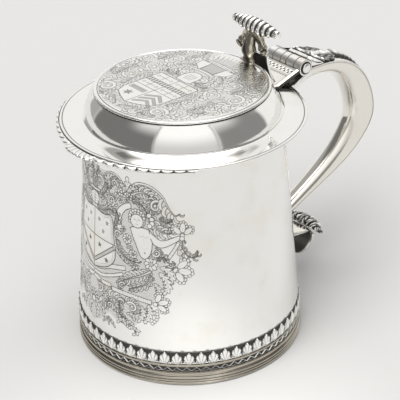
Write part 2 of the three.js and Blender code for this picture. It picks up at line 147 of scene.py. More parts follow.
def grid_quads(number):
    """Quads between the neighbours of a grid of point numbers."""
    corners = number[:-1, :-1], number[:-1, 1:], number[1:, 1:], number[1:, :-1]
    return np.stack(corners, -1).reshape(-1, 4)


def skin(name, rows, loop=False, shade=None):
    """A skin over closed rows of points. loop joins the last row to the first, or else both ends are capped.

    shade is one value for each row, or one for each point.
    """
    rows = np.asarray(rows, float)
    count, width = rows.shape[:2]
    number = np.arange(count * width).reshape(count, width)
    number = np.hstack([number, number[:, :1]])
    if loop:
        number = np.vstack([number, number[:1]])
    if shade is not None:
        shade = np.asarray(shade, float)
        shade = np.repeat(shade, width) if shade.ndim == 1 else shade.ravel()
    points, triangles = rows.reshape(-1, 3), ()
    if not loop:
        if shade is not None:
            shade = np.append(shade, shade[[0, -width]])
        tips = np.full((width, 2), len(points) + np.arange(2)).T
        points = np.vstack([points, rows[0].mean(0), rows[-1].mean(0)])
        triangles = np.vstack([
            np.stack([tip, ring[:-1], ring[1:]], -1)[:, ::order]
            for tip, ring, order in ((tips[0], number[0], -1), (tips[1], number[-1], 1))])
    return add_mesh(name, points, grid_quads(number), triangles, shade)


def make(name, rows, body, node, material, sharp=40, loop=False, shade=None):
    """A finished piece from its rows of points."""
    finish_piece(skin(name, rows, loop, shade), body, node, material, sharp)


def smooth_path(points, count=24):
    """Points along a soft curve through the given ones."""
    points = np.asarray(points, float)
    if len(points) == 2:
        return points[0] + np.linspace(0, 1, count)[:, None] * (points[1] - points[0])
    ends = np.vstack([2 * points[0] - points[1], points, 2 * points[-1] - points[-2]])
    found = []
    steps = max(2, count // (len(points) - 1))
    for i in range(1, len(ends) - 2):
        p0, p1, p2, p3 = ends[i - 1:i + 3]
        for t in np.arange(steps) / steps:
            found.append(0.5 * ((2 * p1) + (p2 - p0) * t + (2 * p0 - 5 * p1 + 4 * p2 - p3) * t ** 2
                                + (3 * p1 - p0 - 3 * p2 + p3) * t ** 3))
    found.append(points[-1])
    return np.array(found)


def run_length(path):
    """Length from the start of a path to each of its points."""
    return np.concatenate([[0], np.cumsum(np.linalg.norm(np.diff(path, axis=0), axis=1))])


def even_path(points, count, soften=0):
    """The same curve at even steps of length; soften rounds it, with its ends held."""
    fine = smooth_path(points, 60 * (len(points) - 1))
    for _ in range(soften):
        fine[1:-1] = (fine[:-2] + 2 * fine[1:-1] + fine[2:]) / 4
    run = run_length(fine)
    at = np.linspace(0, run[-1], count)
    return np.stack([np.interp(at, run, fine[:, k]) for k in range(fine.shape[1])], 1)


def profile(*parts):
    """A turned outline from parts: a tuple of points is a straight run, a list of points a soft curve."""
    found = []
    for part in parts:
        found += list(part) if isinstance(part, tuple) else list(smooth_path(part, 8 * (len(part) - 1)))
    kept = [found[0]]
    for point in found[1:]:
        if np.linalg.norm(np.subtract(point, kept[-1])) > 1e-3:
            kept.append(point)
    return np.array(kept, float)


def turned(outline, angles):
    """Rows of points: an outline of (radius, z) turned about the barrel's axis."""
    outline = np.asarray(outline, float)
    radius, z = outline[:, :1], outline[:, 1:]
    return np.stack([-radius * np.cos(angles), -radius * np.sin(angles), z + 0 * angles], -1)


def turned_across(outline, centre, count, twist=None):
    """An outline of (radius, y) turned about a line along Y through centre, an (x, z)."""
    angles = circle(count)
    outline = np.asarray(outline, float)
    radius, y = outline[:, :1] + 0 * angles, outline[:, 1:] + 0 * angles
    if twist is not None:
        radius = radius * twist(y, angles)
    return np.stack([centre[0] + radius * np.cos(angles), y, centre[1] + radius * np.sin(angles)], -1)


def knuckle_hollow(start, end, count):
    """Part of the round hollow that the knuckles turn in, as (x, z) between two angles in degrees."""
    angle = np.radians(np.linspace(start, end, count))
    return np.stack([HINGE[0] + HINGE_HOLLOW * np.cos(angle), HINGE[1] + HINGE_HOLLOW * np.sin(angle)], 1)


def keyed(keys, t):
    """Value at t of a few (t, value) keys, eased between them."""
    t = np.asarray(t, float)
    at, value = np.array(keys, float).T
    k = np.clip(np.searchsorted(at, t) - 1, 0, len(at) - 2)
    part = unit((t - at[k]) / (at[k + 1] - at[k]))
    return value[k] + (value[k + 1] - value[k]) * part * part * (3 - 2 * part)


def flowing(keys, t, spread=0.06):
    """Value at t of a few (t, value) keys, as one soft curve with no stops at the keys."""
    at, value = np.array(keys, float).T
    fine = np.linspace(-0.5, 1.5, 401)
    line = np.interp(fine, at, value)
    away = (np.asarray(t, float)[:, None] - fine[None]) / spread
    weight = np.exp(-0.5 * away ** 2)
    return (weight * line).sum(1) / weight.sum(1)


def side_frames(path):
    """Centre, across and outward along a path of (x, z) points in the middle plane."""
    tangent = np.gradient(path, axis=0)
    tangent /= np.linalg.norm(tangent, axis=1)[:, None]
    out = np.stack([-tangent[:, 1], 0 * tangent[:, 0], tangent[:, 0]], 1)
    centre = np.stack([path[:, 0], 0 * path[:, 0], path[:, 1]], 1)
    return centre, np.tile((0.0, 1.0, 0.0), (len(path), 1)), out


def space_frames(path):
    """The same for a path in space, with outward in the plane across X."""
    tangent = np.gradient(path, axis=0)
    tangent /= np.linalg.norm(tangent, axis=1)[:, None]
    across = np.tile((1.0, 0.0, 0.0), (len(path), 1))
    out = np.cross(tangent, across)
    out /= np.linalg.norm(out, axis=1)[:, None]
    return path, np.cross(out, tangent), out


def swept(frames, outlines):
    """Rows of points: an outline of (across, out) at each frame."""
    centre, across, out = frames
    outlines = np.asarray(outlines, float)
    return centre[:, None] + outlines[..., :1] * across[:, None] + outlines[..., 1:] * out[:, None]


def ellipse(half_width, half_height, count, squareness):
    angles = circle(count)
    c, s = squared(np.cos(angles), squareness), squared(np.sin(angles), squareness)
    return np.stack([half_width[:, None] * c, half_height[:, None] * s], -1)



# ---- materials ----

class Nodes:
    """A short way to wire the nodes of a material or a world."""

    def __init__(self, owner, shader, coordinates):
        owner.use_nodes = True
        self.tree = owner.node_tree
        self.shader = self.tree.nodes[shader].inputs
        self.coordinates = coordinates

    def add(self, kind, **settings):
        node = self.tree.nodes.new(kind)
        for key, value in settings.items():
            setattr(node, key, value)
        return node

    def put(self, target, value):
        if hasattr(value, "is_linked"):
            self.tree.links.new(value, target)
        else:
            target.default_value = value

    def fill(self, node, **values):
        """Sets or links inputs by name, with _ for each space."""
        for name, value in values.items():
            self.put(node.inputs[name.replace("_", " ")], value)
        return node

    def where(self):
        return self.add("ShaderNodeTexCoord").outputs[self.coordinates]

    def noise(self, where, scale, detail, rough, stretch=(1, 1, 1), shift=0.0):
        mapping = self.fill(self.add("ShaderNodeMapping"), Scale=stretch, Location=(shift, shift, shift),
                            Vector=where)
        node = self.fill(self.add("ShaderNodeTexNoise"), Vector=mapping.outputs[0], Scale=scale,
                         Detail=detail, Roughness=rough)
        return node.outputs["Fac"]

    def ramp(self, value, low, high, out_low=0.0, out_high=1.0):
        node = self.add("ShaderNodeMapRange", interpolation_type="SMOOTHSTEP")
        return self.fill(node, Value=value, From_Min=low, From_Max=high, To_Min=out_low,
                         To_Max=out_high).outputs["Result"]

    def maths(self, operation, *values):
        node = self.add("ShaderNodeMath", operation=operation)
        for socket, value in zip(node.inputs, values):
            self.put(socket, value)
        return node.outputs[0]

    def mix(self, amount, a, b):
        node = self.add("ShaderNodeMix", data_type="RGBA")
        return self.fill(node, Factor=amount, A=a, B=b).outputs["Result"]

    def bump(self, height, distance, **before):
        node = self.add("ShaderNodeBump")
        return self.fill(node, Strength=1.0, Distance=distance, Height=height, **before).outputs["Normal"]


def new_material(name):
    material = bpy.data.materials.new(name)
    return material, Nodes(material, "Principled BSDF", "Object")


def colour(red, green, blue):
    return (red, green, blue, 1.0)


BRIGHT = colour(0.945, 0.937, 0.915)
WARM = colour(0.83, 0.78, 0.68)
SOOT_SHADE_COLOUR = colour(0.035, 0.031, 0.027)
STAIN = colour(0.42, 0.34, 0.25)

# heights of the surface's unevenness, in metres
WAVE_HEIGHT, LINE_HEIGHT, GRAIN_HEIGHT = 0.0006, 0.000004, 0.000001
CAST_GRAIN_HEIGHT, CAST_HEIGHT = 0.00006, 0.00025


def silver(name, bright=BRIGHT, rough=0.055, haze=0.06, wave=0.3, brushed=(60, 60, 2600), soot_and_shade=0.94,
           tarnish=0.35, cast=0.0, grainy=5):
    """Old polished silver: fine wiping lines, cloudy haze, warm tarnish, and, from the dark attribute, soot
    in what is cut or cast and painted shade in gaps, hollows and undersides.
    """
    material, n = new_material(name)
    where = n.where()
    dark = n.add("ShaderNodeAttribute", attribute_name="dark").outputs["Fac"]
    clouds = n.noise(where, 38, 4, 0.6)
    broad = n.noise(where, 14, 3, 0.5, shift=3.1)
    lines = n.noise(where, 1.0, 2, 0.7, brushed)
    grain = n.noise(where, 900, 2, 0.6, shift=1.7)
    pits = n.ramp(n.noise(where, 520, 1, 0.3, shift=5.3), 0.76, 0.82)
    tone = n.mix(n.maths("MULTIPLY", n.ramp(clouds, 0.45, 0.8), tarnish), bright, WARM)
    tone = n.mix(n.maths("MULTIPLY", pits, 0.22), tone, STAIN)
    # the dark attribute mixes in soot and painted shade alike
    soot_and_shade_mix = n.maths("MULTIPLY", n.ramp(dark, 0.05, 0.95), soot_and_shade)
    tone = n.mix(soot_and_shade_mix, tone, SOOT_SHADE_COLOUR)
    gloss = n.maths("ADD", n.ramp(clouds, 0.3, 0.8, rough, rough + haze),
                    n.ramp(lines, 0.35, 0.75, 0, haze * 0.6))
    gloss = n.maths("ADD", gloss, n.maths("MULTIPLY", soot_and_shade_mix, 0.4))
    height = n.bump(broad, WAVE_HEIGHT * wave)
    height = n.bump(lines, LINE_HEIGHT, Normal=height)
    height = n.bump(grain, GRAIN_HEIGHT * grainy + CAST_GRAIN_HEIGHT * cast, Normal=height)
    if cast:
        height = n.bump(n.noise(where, 420, 3, 0.6, shift=2.2), CAST_HEIGHT * cast, Normal=height)
    for socket, value in (("Base Color", tone), ("Roughness", gloss), ("Normal", height), ("Metallic", 1.0)):
        n.put(n.shader[socket], value)
    return material


polished = silver("polished_silver")
handle_silver = silver("handle_silver", colour(0.88, 0.855, 0.80), 0.08, 0.08, 0.45, (900, 900, 900),
                       tarnish=0.5, grainy=8)
engraved = silver("engraved_silver", rough=0.09, haze=0.09, wave=0.5, tarnish=0.6, soot_and_shade=0.86, grainy=12)
foot_silver = silver("foot_silver", colour(0.47, 0.435, 0.37), 0.1, 0.12, 0.2, (60, 60, 3200), tarnish=0.8)
plate_silver = silver("lid_plate_silver", BRIGHT, 0.09, 0.09, 0.2, (500, 500, 60), soot_and_shade=0.8)
cast_silver = silver("cast_silver", BRIGHT, 0.14, 0.1, 0.15, (700, 700, 700), tarnish=0.4, cast=0.35)
worn_silver, knuckle_silver = (
    silver(name, BRIGHT, rough, 0.08, 0.03, (90, 2400, 90), tarnish=0.8, grainy=2)
    for name, rough in (("worn_hinge_silver", 0.12), ("knuckle_silver", 0.27)))
thumb_silver = silver("thumb_silver", colour(0.56, 0.52, 0.43), 0.12, 0.1, 0.1, (700, 700, 700),
                      tarnish=0.9, cast=0.2)

# a painted pool of light on the floor: lighter grey in front of the part, on the left, in metres
POOL_MIDDLE, POOL_REACH = (-0.105, -0.085, 0), 0.15
POOL_LIGHT, POOL_EDGE = colour(0.69, 0.688, 0.685), colour(0.49, 0.489, 0.488)


def floor_with_painted_light_pool():
    material, n = new_material("studio_paper")
    where = n.where()
    distance = n.add("ShaderNodeVectorMath", operation="DISTANCE")
    n.put(distance.inputs[0], where)
    n.put(distance.inputs[1], POOL_MIDDLE)
    pool = n.ramp(distance.outputs["Value"], 0.0, POOL_REACH)
    n.put(n.shader["Base Color"], n.mix(pool, POOL_LIGHT, POOL_EDGE))
    n.put(n.shader["Roughness"], 0.8)
    n.put(n.shader["Specular IOR Level"], 0.15)
    return material


# ---- engraving: lines cut into a sheet that is laid out flat, in millimetres ----

class Sheet:
    """A flat field of cut depth, from 0 (bright metal) to 1 (a deep dark line)."""

    def __init__(self, low, high, step):
        self.low, self.high, self.step = low, high, step
        self.across = np.arange(low[0], high[0] + step / 2, step)
        self.up = np.arange(low[1], high[1] + step / 2, step)
        self.cut = np.zeros((len(self.up), len(self.across)))

    def window(self, points, margin):
        low, high = points.min(0) - margin, points.max(0) + margin
        a = np.searchsorted(self.across, (low[0], high[0]))
        b = np.searchsorted(self.up, (low[1], high[1]))
        rows, columns = slice(*b), slice(*a)
        x, y = np.meshgrid(self.across[columns], self.up[rows])
        return rows, columns, x, y

    def line(self, points, width=0.5, depth=1.0, taper=False):
        points = np.asarray(points, float)
        count = len(points) - 1
        for i, (a, b) in enumerate(zip(points[:-1], points[1:])):
            wide = width * (math.sin(math.pi * (i + 0.5) / count) ** 0.6 if taper else 1)
            rows, columns, x, y = self.window(np.array([a, b]), width + self.step)
            if x.size == 0:
                continue
            run = b - a
            t = unit(((x - a[0]) * run[0] + (y - a[1]) * run[1]) / max(run @ run, 1e-9))
            away = np.hypot(x - a[0] - t * run[0], y - a[1] - t * run[1])
            ink = depth * unit((wide / 2 + self.step * 0.5 - away) / self.step)
            self.cut[rows, columns] = np.maximum(self.cut[rows, columns], ink)

    def inside(self, outline):
        outline = np.asarray(outline, float)
        rows, columns, x, y = self.window(outline, self.step)
        odd = np.zeros(x.shape, bool)
        for a, b in zip(outline, np.roll(outline, -1, 0)):
            if a[1] == b[1]:
                continue
            crosses = (a[1] > y) != (b[1] > y)
            odd ^= crosses & (x < (b[0] - a[0]) * (y - a[1]) / (b[1] - a[1]) + a[0])
        return rows, columns, x, y, odd

    def clear(self, outline, value=0.0):
        rows, columns, _, _, inside = self.inside(outline)
        self.cut[rows, columns][inside] = value

    def hatch(self, outline, angle, pitch, depth, fill=0.0):
        rows, columns, x, y, inside = self.inside(outline)
        turn = math.radians(angle)
        phase = (x * math.sin(turn) - y * math.cos(turn)) / pitch
        stripe = fill + (depth - fill) * unit(0.5 + 0.75 * np.cos(2 * math.pi * phase))
        self.cut[rows, columns][inside] = np.maximum(self.cut[rows, columns], stripe)[inside]

    def shape(self, outline, width=0.5):
        """A bright shape with a cut outline, over whatever lies under it."""
        outline = np.asarray(outline, float)
        self.clear(outline)
        self.line(np.vstack([outline, outline[:1]]), width)

    def band(self, edges, width):
        """A bright band between two edges."""
        self.shape(np.vstack([edges[0], edges[1][::-1]]), width)

    def mirror(self):
        """Copies the right half onto the left."""
        half = self.cut.shape[1] // 2
        self.cut[:, :half] = self.cut[:, :-half - 1:-1]

    def read(self, x, y):
        """Depth at points of the sheet, blended between its cells; 0 outside it."""
        column = (np.asarray(x) - self.low[0]) / self.step
        row = (np.asarray(y) - self.low[1]) / self.step
        cut = self.cut
        inside = ((column > 0) & (column < cut.shape[1] - 1.01)
                  & (row > 0) & (row < cut.shape[0] - 1.01))
        column, row = np.where(inside, column, 0), np.where(inside, row, 0)
        c, r = column.astype(int), row.astype(int)
        u, v = column - c, row - r
        lower = cut[r, c] * (1 - u) + cut[r, c + 1] * u
        upper = cut[r + 1, c] * (1 - u) + cut[r + 1, c + 1] * u
        return np.where(inside, lower * (1 - v) + upper * v, 0)


def directions(path):
    """Unit vectors along a flat path and across it."""
    tangent = np.gradient(path, axis=0)
    tangent /= np.maximum(np.linalg.norm(tangent, axis=1), 1e-9)[:, None]
    return tangent, np.stack([-tangent[:, 1], tangent[:, 0]], 1)


def sides(path, half):
    """The two edges of a band along a path; half is its half-width at each point."""
    normal = directions(path)[1]
    half = np.broadcast_to(half, len(path))[:, None]
    return path + normal * half, path - normal * half


def sickle(sheet, base, out, along, reach, line=0.4):
    """One curled leaflet that leaves its stem sideways and bends along it to a point."""
    bends = [base] + [base + out * reach * sideways + along * reach * forward
                      for sideways, forward in ((0.6, 0.1), (1, 0.7), (0.8, 1.3))]
    centre = smooth_path(bends, 12)
    u = np.linspace(0, 1, len(centre))
    sheet.band(sides(centre, reach * 0.25 * np.sin(math.pi * unit(u * 0.88 + 0.1)) ** 0.6), line)
    sheet.line(centre[1:9], line * 0.8, 0.6, taper=True)


def plume(sheet, points, width, count=7, hands=(1, -1), line=0.42):
    """An acanthus plume: a stem with curled leaflets on one or both sides that shrink towards its tip."""
    path = smooth_path(points, 12 * count)
    tangent, normal = directions(path)
    t = np.linspace(0, 1, len(path))
    reach = width / 2 * np.sin(math.pi * (0.16 + 0.76 * t)) ** 0.7
    for k in range(count):
        i = int((k + 0.15) / count * 0.93 * len(path))
        for hand in hands:
            sickle(sheet, path[i], normal[i] * hand, tangent[i], reach[i], line)
    sheet.band(sides(path, width * 0.085 * (1.05 - 0.8 * t)), line)
    sickle(sheet, path[-3], normal[-3] * hands[0], tangent[-3], reach[-1] * 1.1, line)


def jagged(sheet, points, width, lobes, line=0.4):
    """A leaf with sharp teeth, such as holly or oak."""
    path = smooth_path(points, 12 * lobes)
    tangent = directions(path)[0]
    t = np.linspace(0, 1, len(path))
    body = width / 2 * np.sin(math.pi * unit(t * 0.92 + 0.08)) ** 0.6
    along = (lobes * t) % 1
    rise = np.where(along < 0.75, along / 0.75, (1 - along) / 0.25)
    forward = tangent * (body * rise * 0.6 * (1 - t))[:, None]
    edges = [edge + forward for edge in sides(path, body * (0.35 + 0.8 * rise))]
    sheet.band(edges, line)
    sheet.line(path[1:-1], line * 0.9, 0.7, taper=True)
    for k in range(1, lobes):
        i = int(len(path) * k / lobes)
        for edge in edges:
            sheet.line([path[i - 6], path[i] * 0.45 + edge[i - 3] * 0.55], line * 0.7, 0.6)


def scroll(sheet, centre, radius, start, turns, hand, width, fringe, line=0.42):
    """A curling stem with a row of curled leaflets on its outer side and a bud at its heart."""
    t = np.linspace(0, 1, 48)
    angle = math.radians(start) + hand * 2 * math.pi * turns * t
    r = radius * (1 - 0.84 * t ** 0.8)
    path = np.stack([centre[0] + r * np.cos(angle), centre[1] + r * np.sin(angle)], 1)
    tangent = directions(path)[0]
    outward = path - np.asarray(centre)
    outward /= np.linalg.norm(outward, axis=1)[:, None]
    for k in range(fringe):
        i = int((0.04 + 0.56 * k / fringe) * len(path))
        sickle(sheet, path[i], outward[i], tangent[i], width * (1.45 - 0.5 * k / fringe), line)
    sheet.band(sides(path, width / 2 * (0.85 - 0.5 * t)), line)
    disc(sheet, path[-1], width * 0.5, line)


def ring_points(centre, radius, count=20, squash=1.0, turn=0.0):
    """Points of an ellipse, its long axis turned by an angle in degrees."""
    angle = circle(count)
    x, y = radius * np.cos(angle), squash * radius * np.sin(angle)
    c, s = math.cos(math.radians(turn)), math.sin(math.radians(turn))
    return np.stack([centre[0] + x * c - y * s, centre[1] + x * s + y * c], 1)


def disc(sheet, centre, radius, line=0.42, squash=1.0, turn=0.0):
    sheet.shape(ring_points(centre, radius, 20, squash, turn), line)


def flower(sheet, centre, radius, petals, turn=0, line=0.4):
    for k in range(petals):
        angle = math.radians(turn + 360 * k / petals)
        middle = (centre[0] + 0.62 * radius * math.cos(angle), centre[1] + 0.62 * radius * math.sin(angle))
        disc(sheet, middle, radius * 0.42, line, 0.78, math.degrees(angle))
    disc(sheet, centre, radius * 0.32, line)
    disc(sheet, centre, radius * 0.32 * 0.4, line * 0.8)


def tulip(sheet, base, direction, size, line=0.4):
    """A blossom of three cupped petals, each edged with a chain of small scallops."""
    base = np.array(base, float)
    for spread, part in ((-48, 0.92), (48, 0.92), (0, 1.0)):
        angle = math.radians(direction + spread)
        middle = base + size * 0.56 * part * np.array([math.cos(angle), math.sin(angle)])
        petal = ring_points(middle, size * 0.42 * part, 40, 0.62, direction + spread)
        beads(sheet, np.vstack([petal[30:], petal[:11]]), size * 0.105, line)
        sheet.shape(ring_points(middle, size * 0.36 * part, 24, 0.56, direction + spread), line)
        sheet.line([base, middle], line * 0.7, 0.55)
    disc(sheet, base, size * 0.15, line)


def beads(sheet, points, radius, line=0.36):
    path = smooth_path(points, 60)
    run = run_length(path)
    for at in np.arange(radius, run[-1], 1.9 * radius):
        disc(sheet, (np.interp(at, run, path[:, 0]), np.interp(at, run, path[:, 1])), radius, line)


def ribbon(sheet, points, width, bars=0, line=0.42):
    path = smooth_path(points, 40)
    edges = sides(path, width / 2)
    sheet.band(edges, line)
    for k in range(bars):
        i = int((k + 0.5) / bars * len(path))
        sheet.line([edges[0][i], edges[1][min(i + 1, len(path) - 1)]], line * 0.8, 0.6)


def star(sheet, centre, radius, points=5, fill=0.8):
    angle = math.pi / 2 + np.arange(2 * points) * math.pi / points
    r = np.where(np.arange(2 * points) % 2, 0.45, 1.0) * radius
    sheet.clear(np.stack([centre[0] + r * np.cos(angle), centre[1] + r * np.sin(angle)], 1), fill)


def soft_shape(sheet, points, count):
    """A shape with a soft closed outline through the points."""
    sheet.shape(smooth_path(points + points[:1], count))


def draw_arms(sheet):
    """The quartered shield in the middle of the body, right half."""
    shield = [(0, 101.5), (9, 100.4), (15.5, 101.5), (17.6, 97), (18.4, 88), (19.7, 80), (18.2, 73),
              (12.5, 67.6), (5, 64.6), (0, 63)]
    sheet.shape(np.vstack([smooth_path(shield, 60), [(-1, 63), (-1, 101.5)]]), 0.6)
    quarter = [(0, 84), (18.6, 84), (18, 93), (16.6, 100), (15, 100.6), (9, 99.8), (0, 100.8)]
    sheet.hatch(quarter, 0, 1.15, 0.3)
    sheet.line([(0, 83.8), (19, 83.8)], 0.5)
    sheet.line([(0, 63), (0, 101)], 0.5)
    for x, z in [(5, 95.5), (12.5, 95.5), (8.8, 89)]:
        sheet.clear(ring_points((x, z), 2.9), 0)
        star(sheet, (x, z), 2.2, 5, 0.6)
    sheet.line([(0.5, 69), (18, 83)], 0.5)
    sheet.line([(0.5, 66.4), (19.2, 81)], 0.5)
    sheet.hatch([(0.5, 69), (18, 83), (19.2, 81), (0.5, 66.4)], 130, 0.9, 0.8)
    star(sheet, (5.5, 79.2), 2.2)
    star(sheet, (12, 71.6), 2.2)
    for reach in (0.9, 2):
        sheet.line(sides(smooth_path(shield[1:], 50), -reach)[0], 0.34, 0.7)


def draw_helm(sheet):
    """Helm, torse and mantling over the shield."""
    for centre, radius, start, hand in [((8.5, 107.5), 4.6, 200, 1), ((15.8, 111.5), 4, 230, 1),
                                        ((6.5, 119.5), 4.4, 180, -1)]:
        scroll(sheet, centre, radius, start, 1.2, hand, 1.8, 6)
    plume(sheet, [(3, 103.2), (9, 102.8), (15, 105.4), (20, 104)], 5, 6)
    plume(sheet, [(2, 113), (7, 112), (11.5, 115.5), (13.5, 120)], 4.8, 6)
    plume(sheet, [(19, 97), (22, 101), (21, 106)], 4, 4)
    sheet.shape([(0, 103.6), (3.4, 104.4), (4.6, 107.4), (4, 110.4), (0, 112)], 0.5)
    for z in (105.6, 107.2, 108.8):
        sheet.line([(0, z), (3.4, z + 0.4)], 0.4, 0.8)
    ribbon(sheet, [(-0.5, 113), (5.6, 113.4)], 1.6, 5)
    plume(sheet, [(0.2, 114.4), (2.6, 119), (1.6, 124), (4.4, 127)], 5, 6)


def draw_putto(sheet):
    """A plain garland boy as pattern books draw one: one arm raised, one out with a bunch of flowers."""
    soft_shape(sheet, [(18.6, 95), (19.2, 101), (21.2, 107.4), (25.6, 111.8), (30.2, 113.6), (30.9, 110.6),
                       (27.6, 108.8), (24.7, 104.6), (24.2, 99), (25.4, 94.6)], 60)
    soft_shape(sheet, [(30.4, 98.8), (34.2, 100), (39, 100.1), (43.2, 98.8), (44.7, 94.8), (44.5, 90.4),
                       (44, 86.4), (42.6, 83), (40, 80.8), (37.4, 81.8), (35.8, 84.8), (34.2, 88.8),
                       (32.2, 93.4)], 72)
    soft_shape(sheet, [(42.6, 99.6), (45.8, 96.2), (51, 93.8), (60.2, 97.2), (61.4, 95.4), (56.8, 92.2),
                       (50.8, 89.4), (46, 90.4), (43.6, 94.2)], 60)
    sheet.clear([(41.4, 97.6), (44.2, 96.2), (44.4, 94.2), (42, 94.6)])
    for dz, start, end in ((0, -40, 220), (1.6, -20, 200)):
        for angle in np.radians(np.arange(start, end, 24)):
            disc(sheet, (34.9 + 4.7 * math.cos(angle), 104.2 + dz + 4.3 * math.sin(angle)), 1, 0.42)
    disc(sheet, (34.9, 103.6), 4.2, 0.5, 1.02)
    for x in (33.5, 36.3):
        sheet.line([(x - 0.6, 104.4), (x + 0.6, 104.4)], 0.5, 0.8)
        sheet.line([(x - 0.8, 105.4), (x, 105.8), (x + 0.8, 105.4)], 0.3, 0.6)
    sheet.line([(34.9, 104.2), (34.7, 102.9), (35.3, 102.8)], 0.3, 0.6)
    sheet.line([(34.1, 101.6), (34.9, 101.3), (35.7, 101.6)], 0.4, 0.75)
    chest = [(35.4, 95.4), (37.2, 94.2), (39, 95.2), (40.4, 94.2), (42.2, 95.2)]
    sheet.line(smooth_path(chest, 16), 0.32, 0.6)
    sheet.line([(39, 95), (39.6, 89.6)], 0.28, 0.4)
    sheet.line(smooth_path([(36.8, 88.4), (39.4, 86.8), (42, 88.2)], 10), 0.3, 0.45)
    disc(sheet, (39.8, 84.6), 0.4, 0.32)
    for k in range(6):
        sheet.line([(32.4 + 0.62 * k, 95 - 1.9 * k), (33.8 + 0.62 * k, 94.2 - 1.9 * k)], 0.26, 0.5)


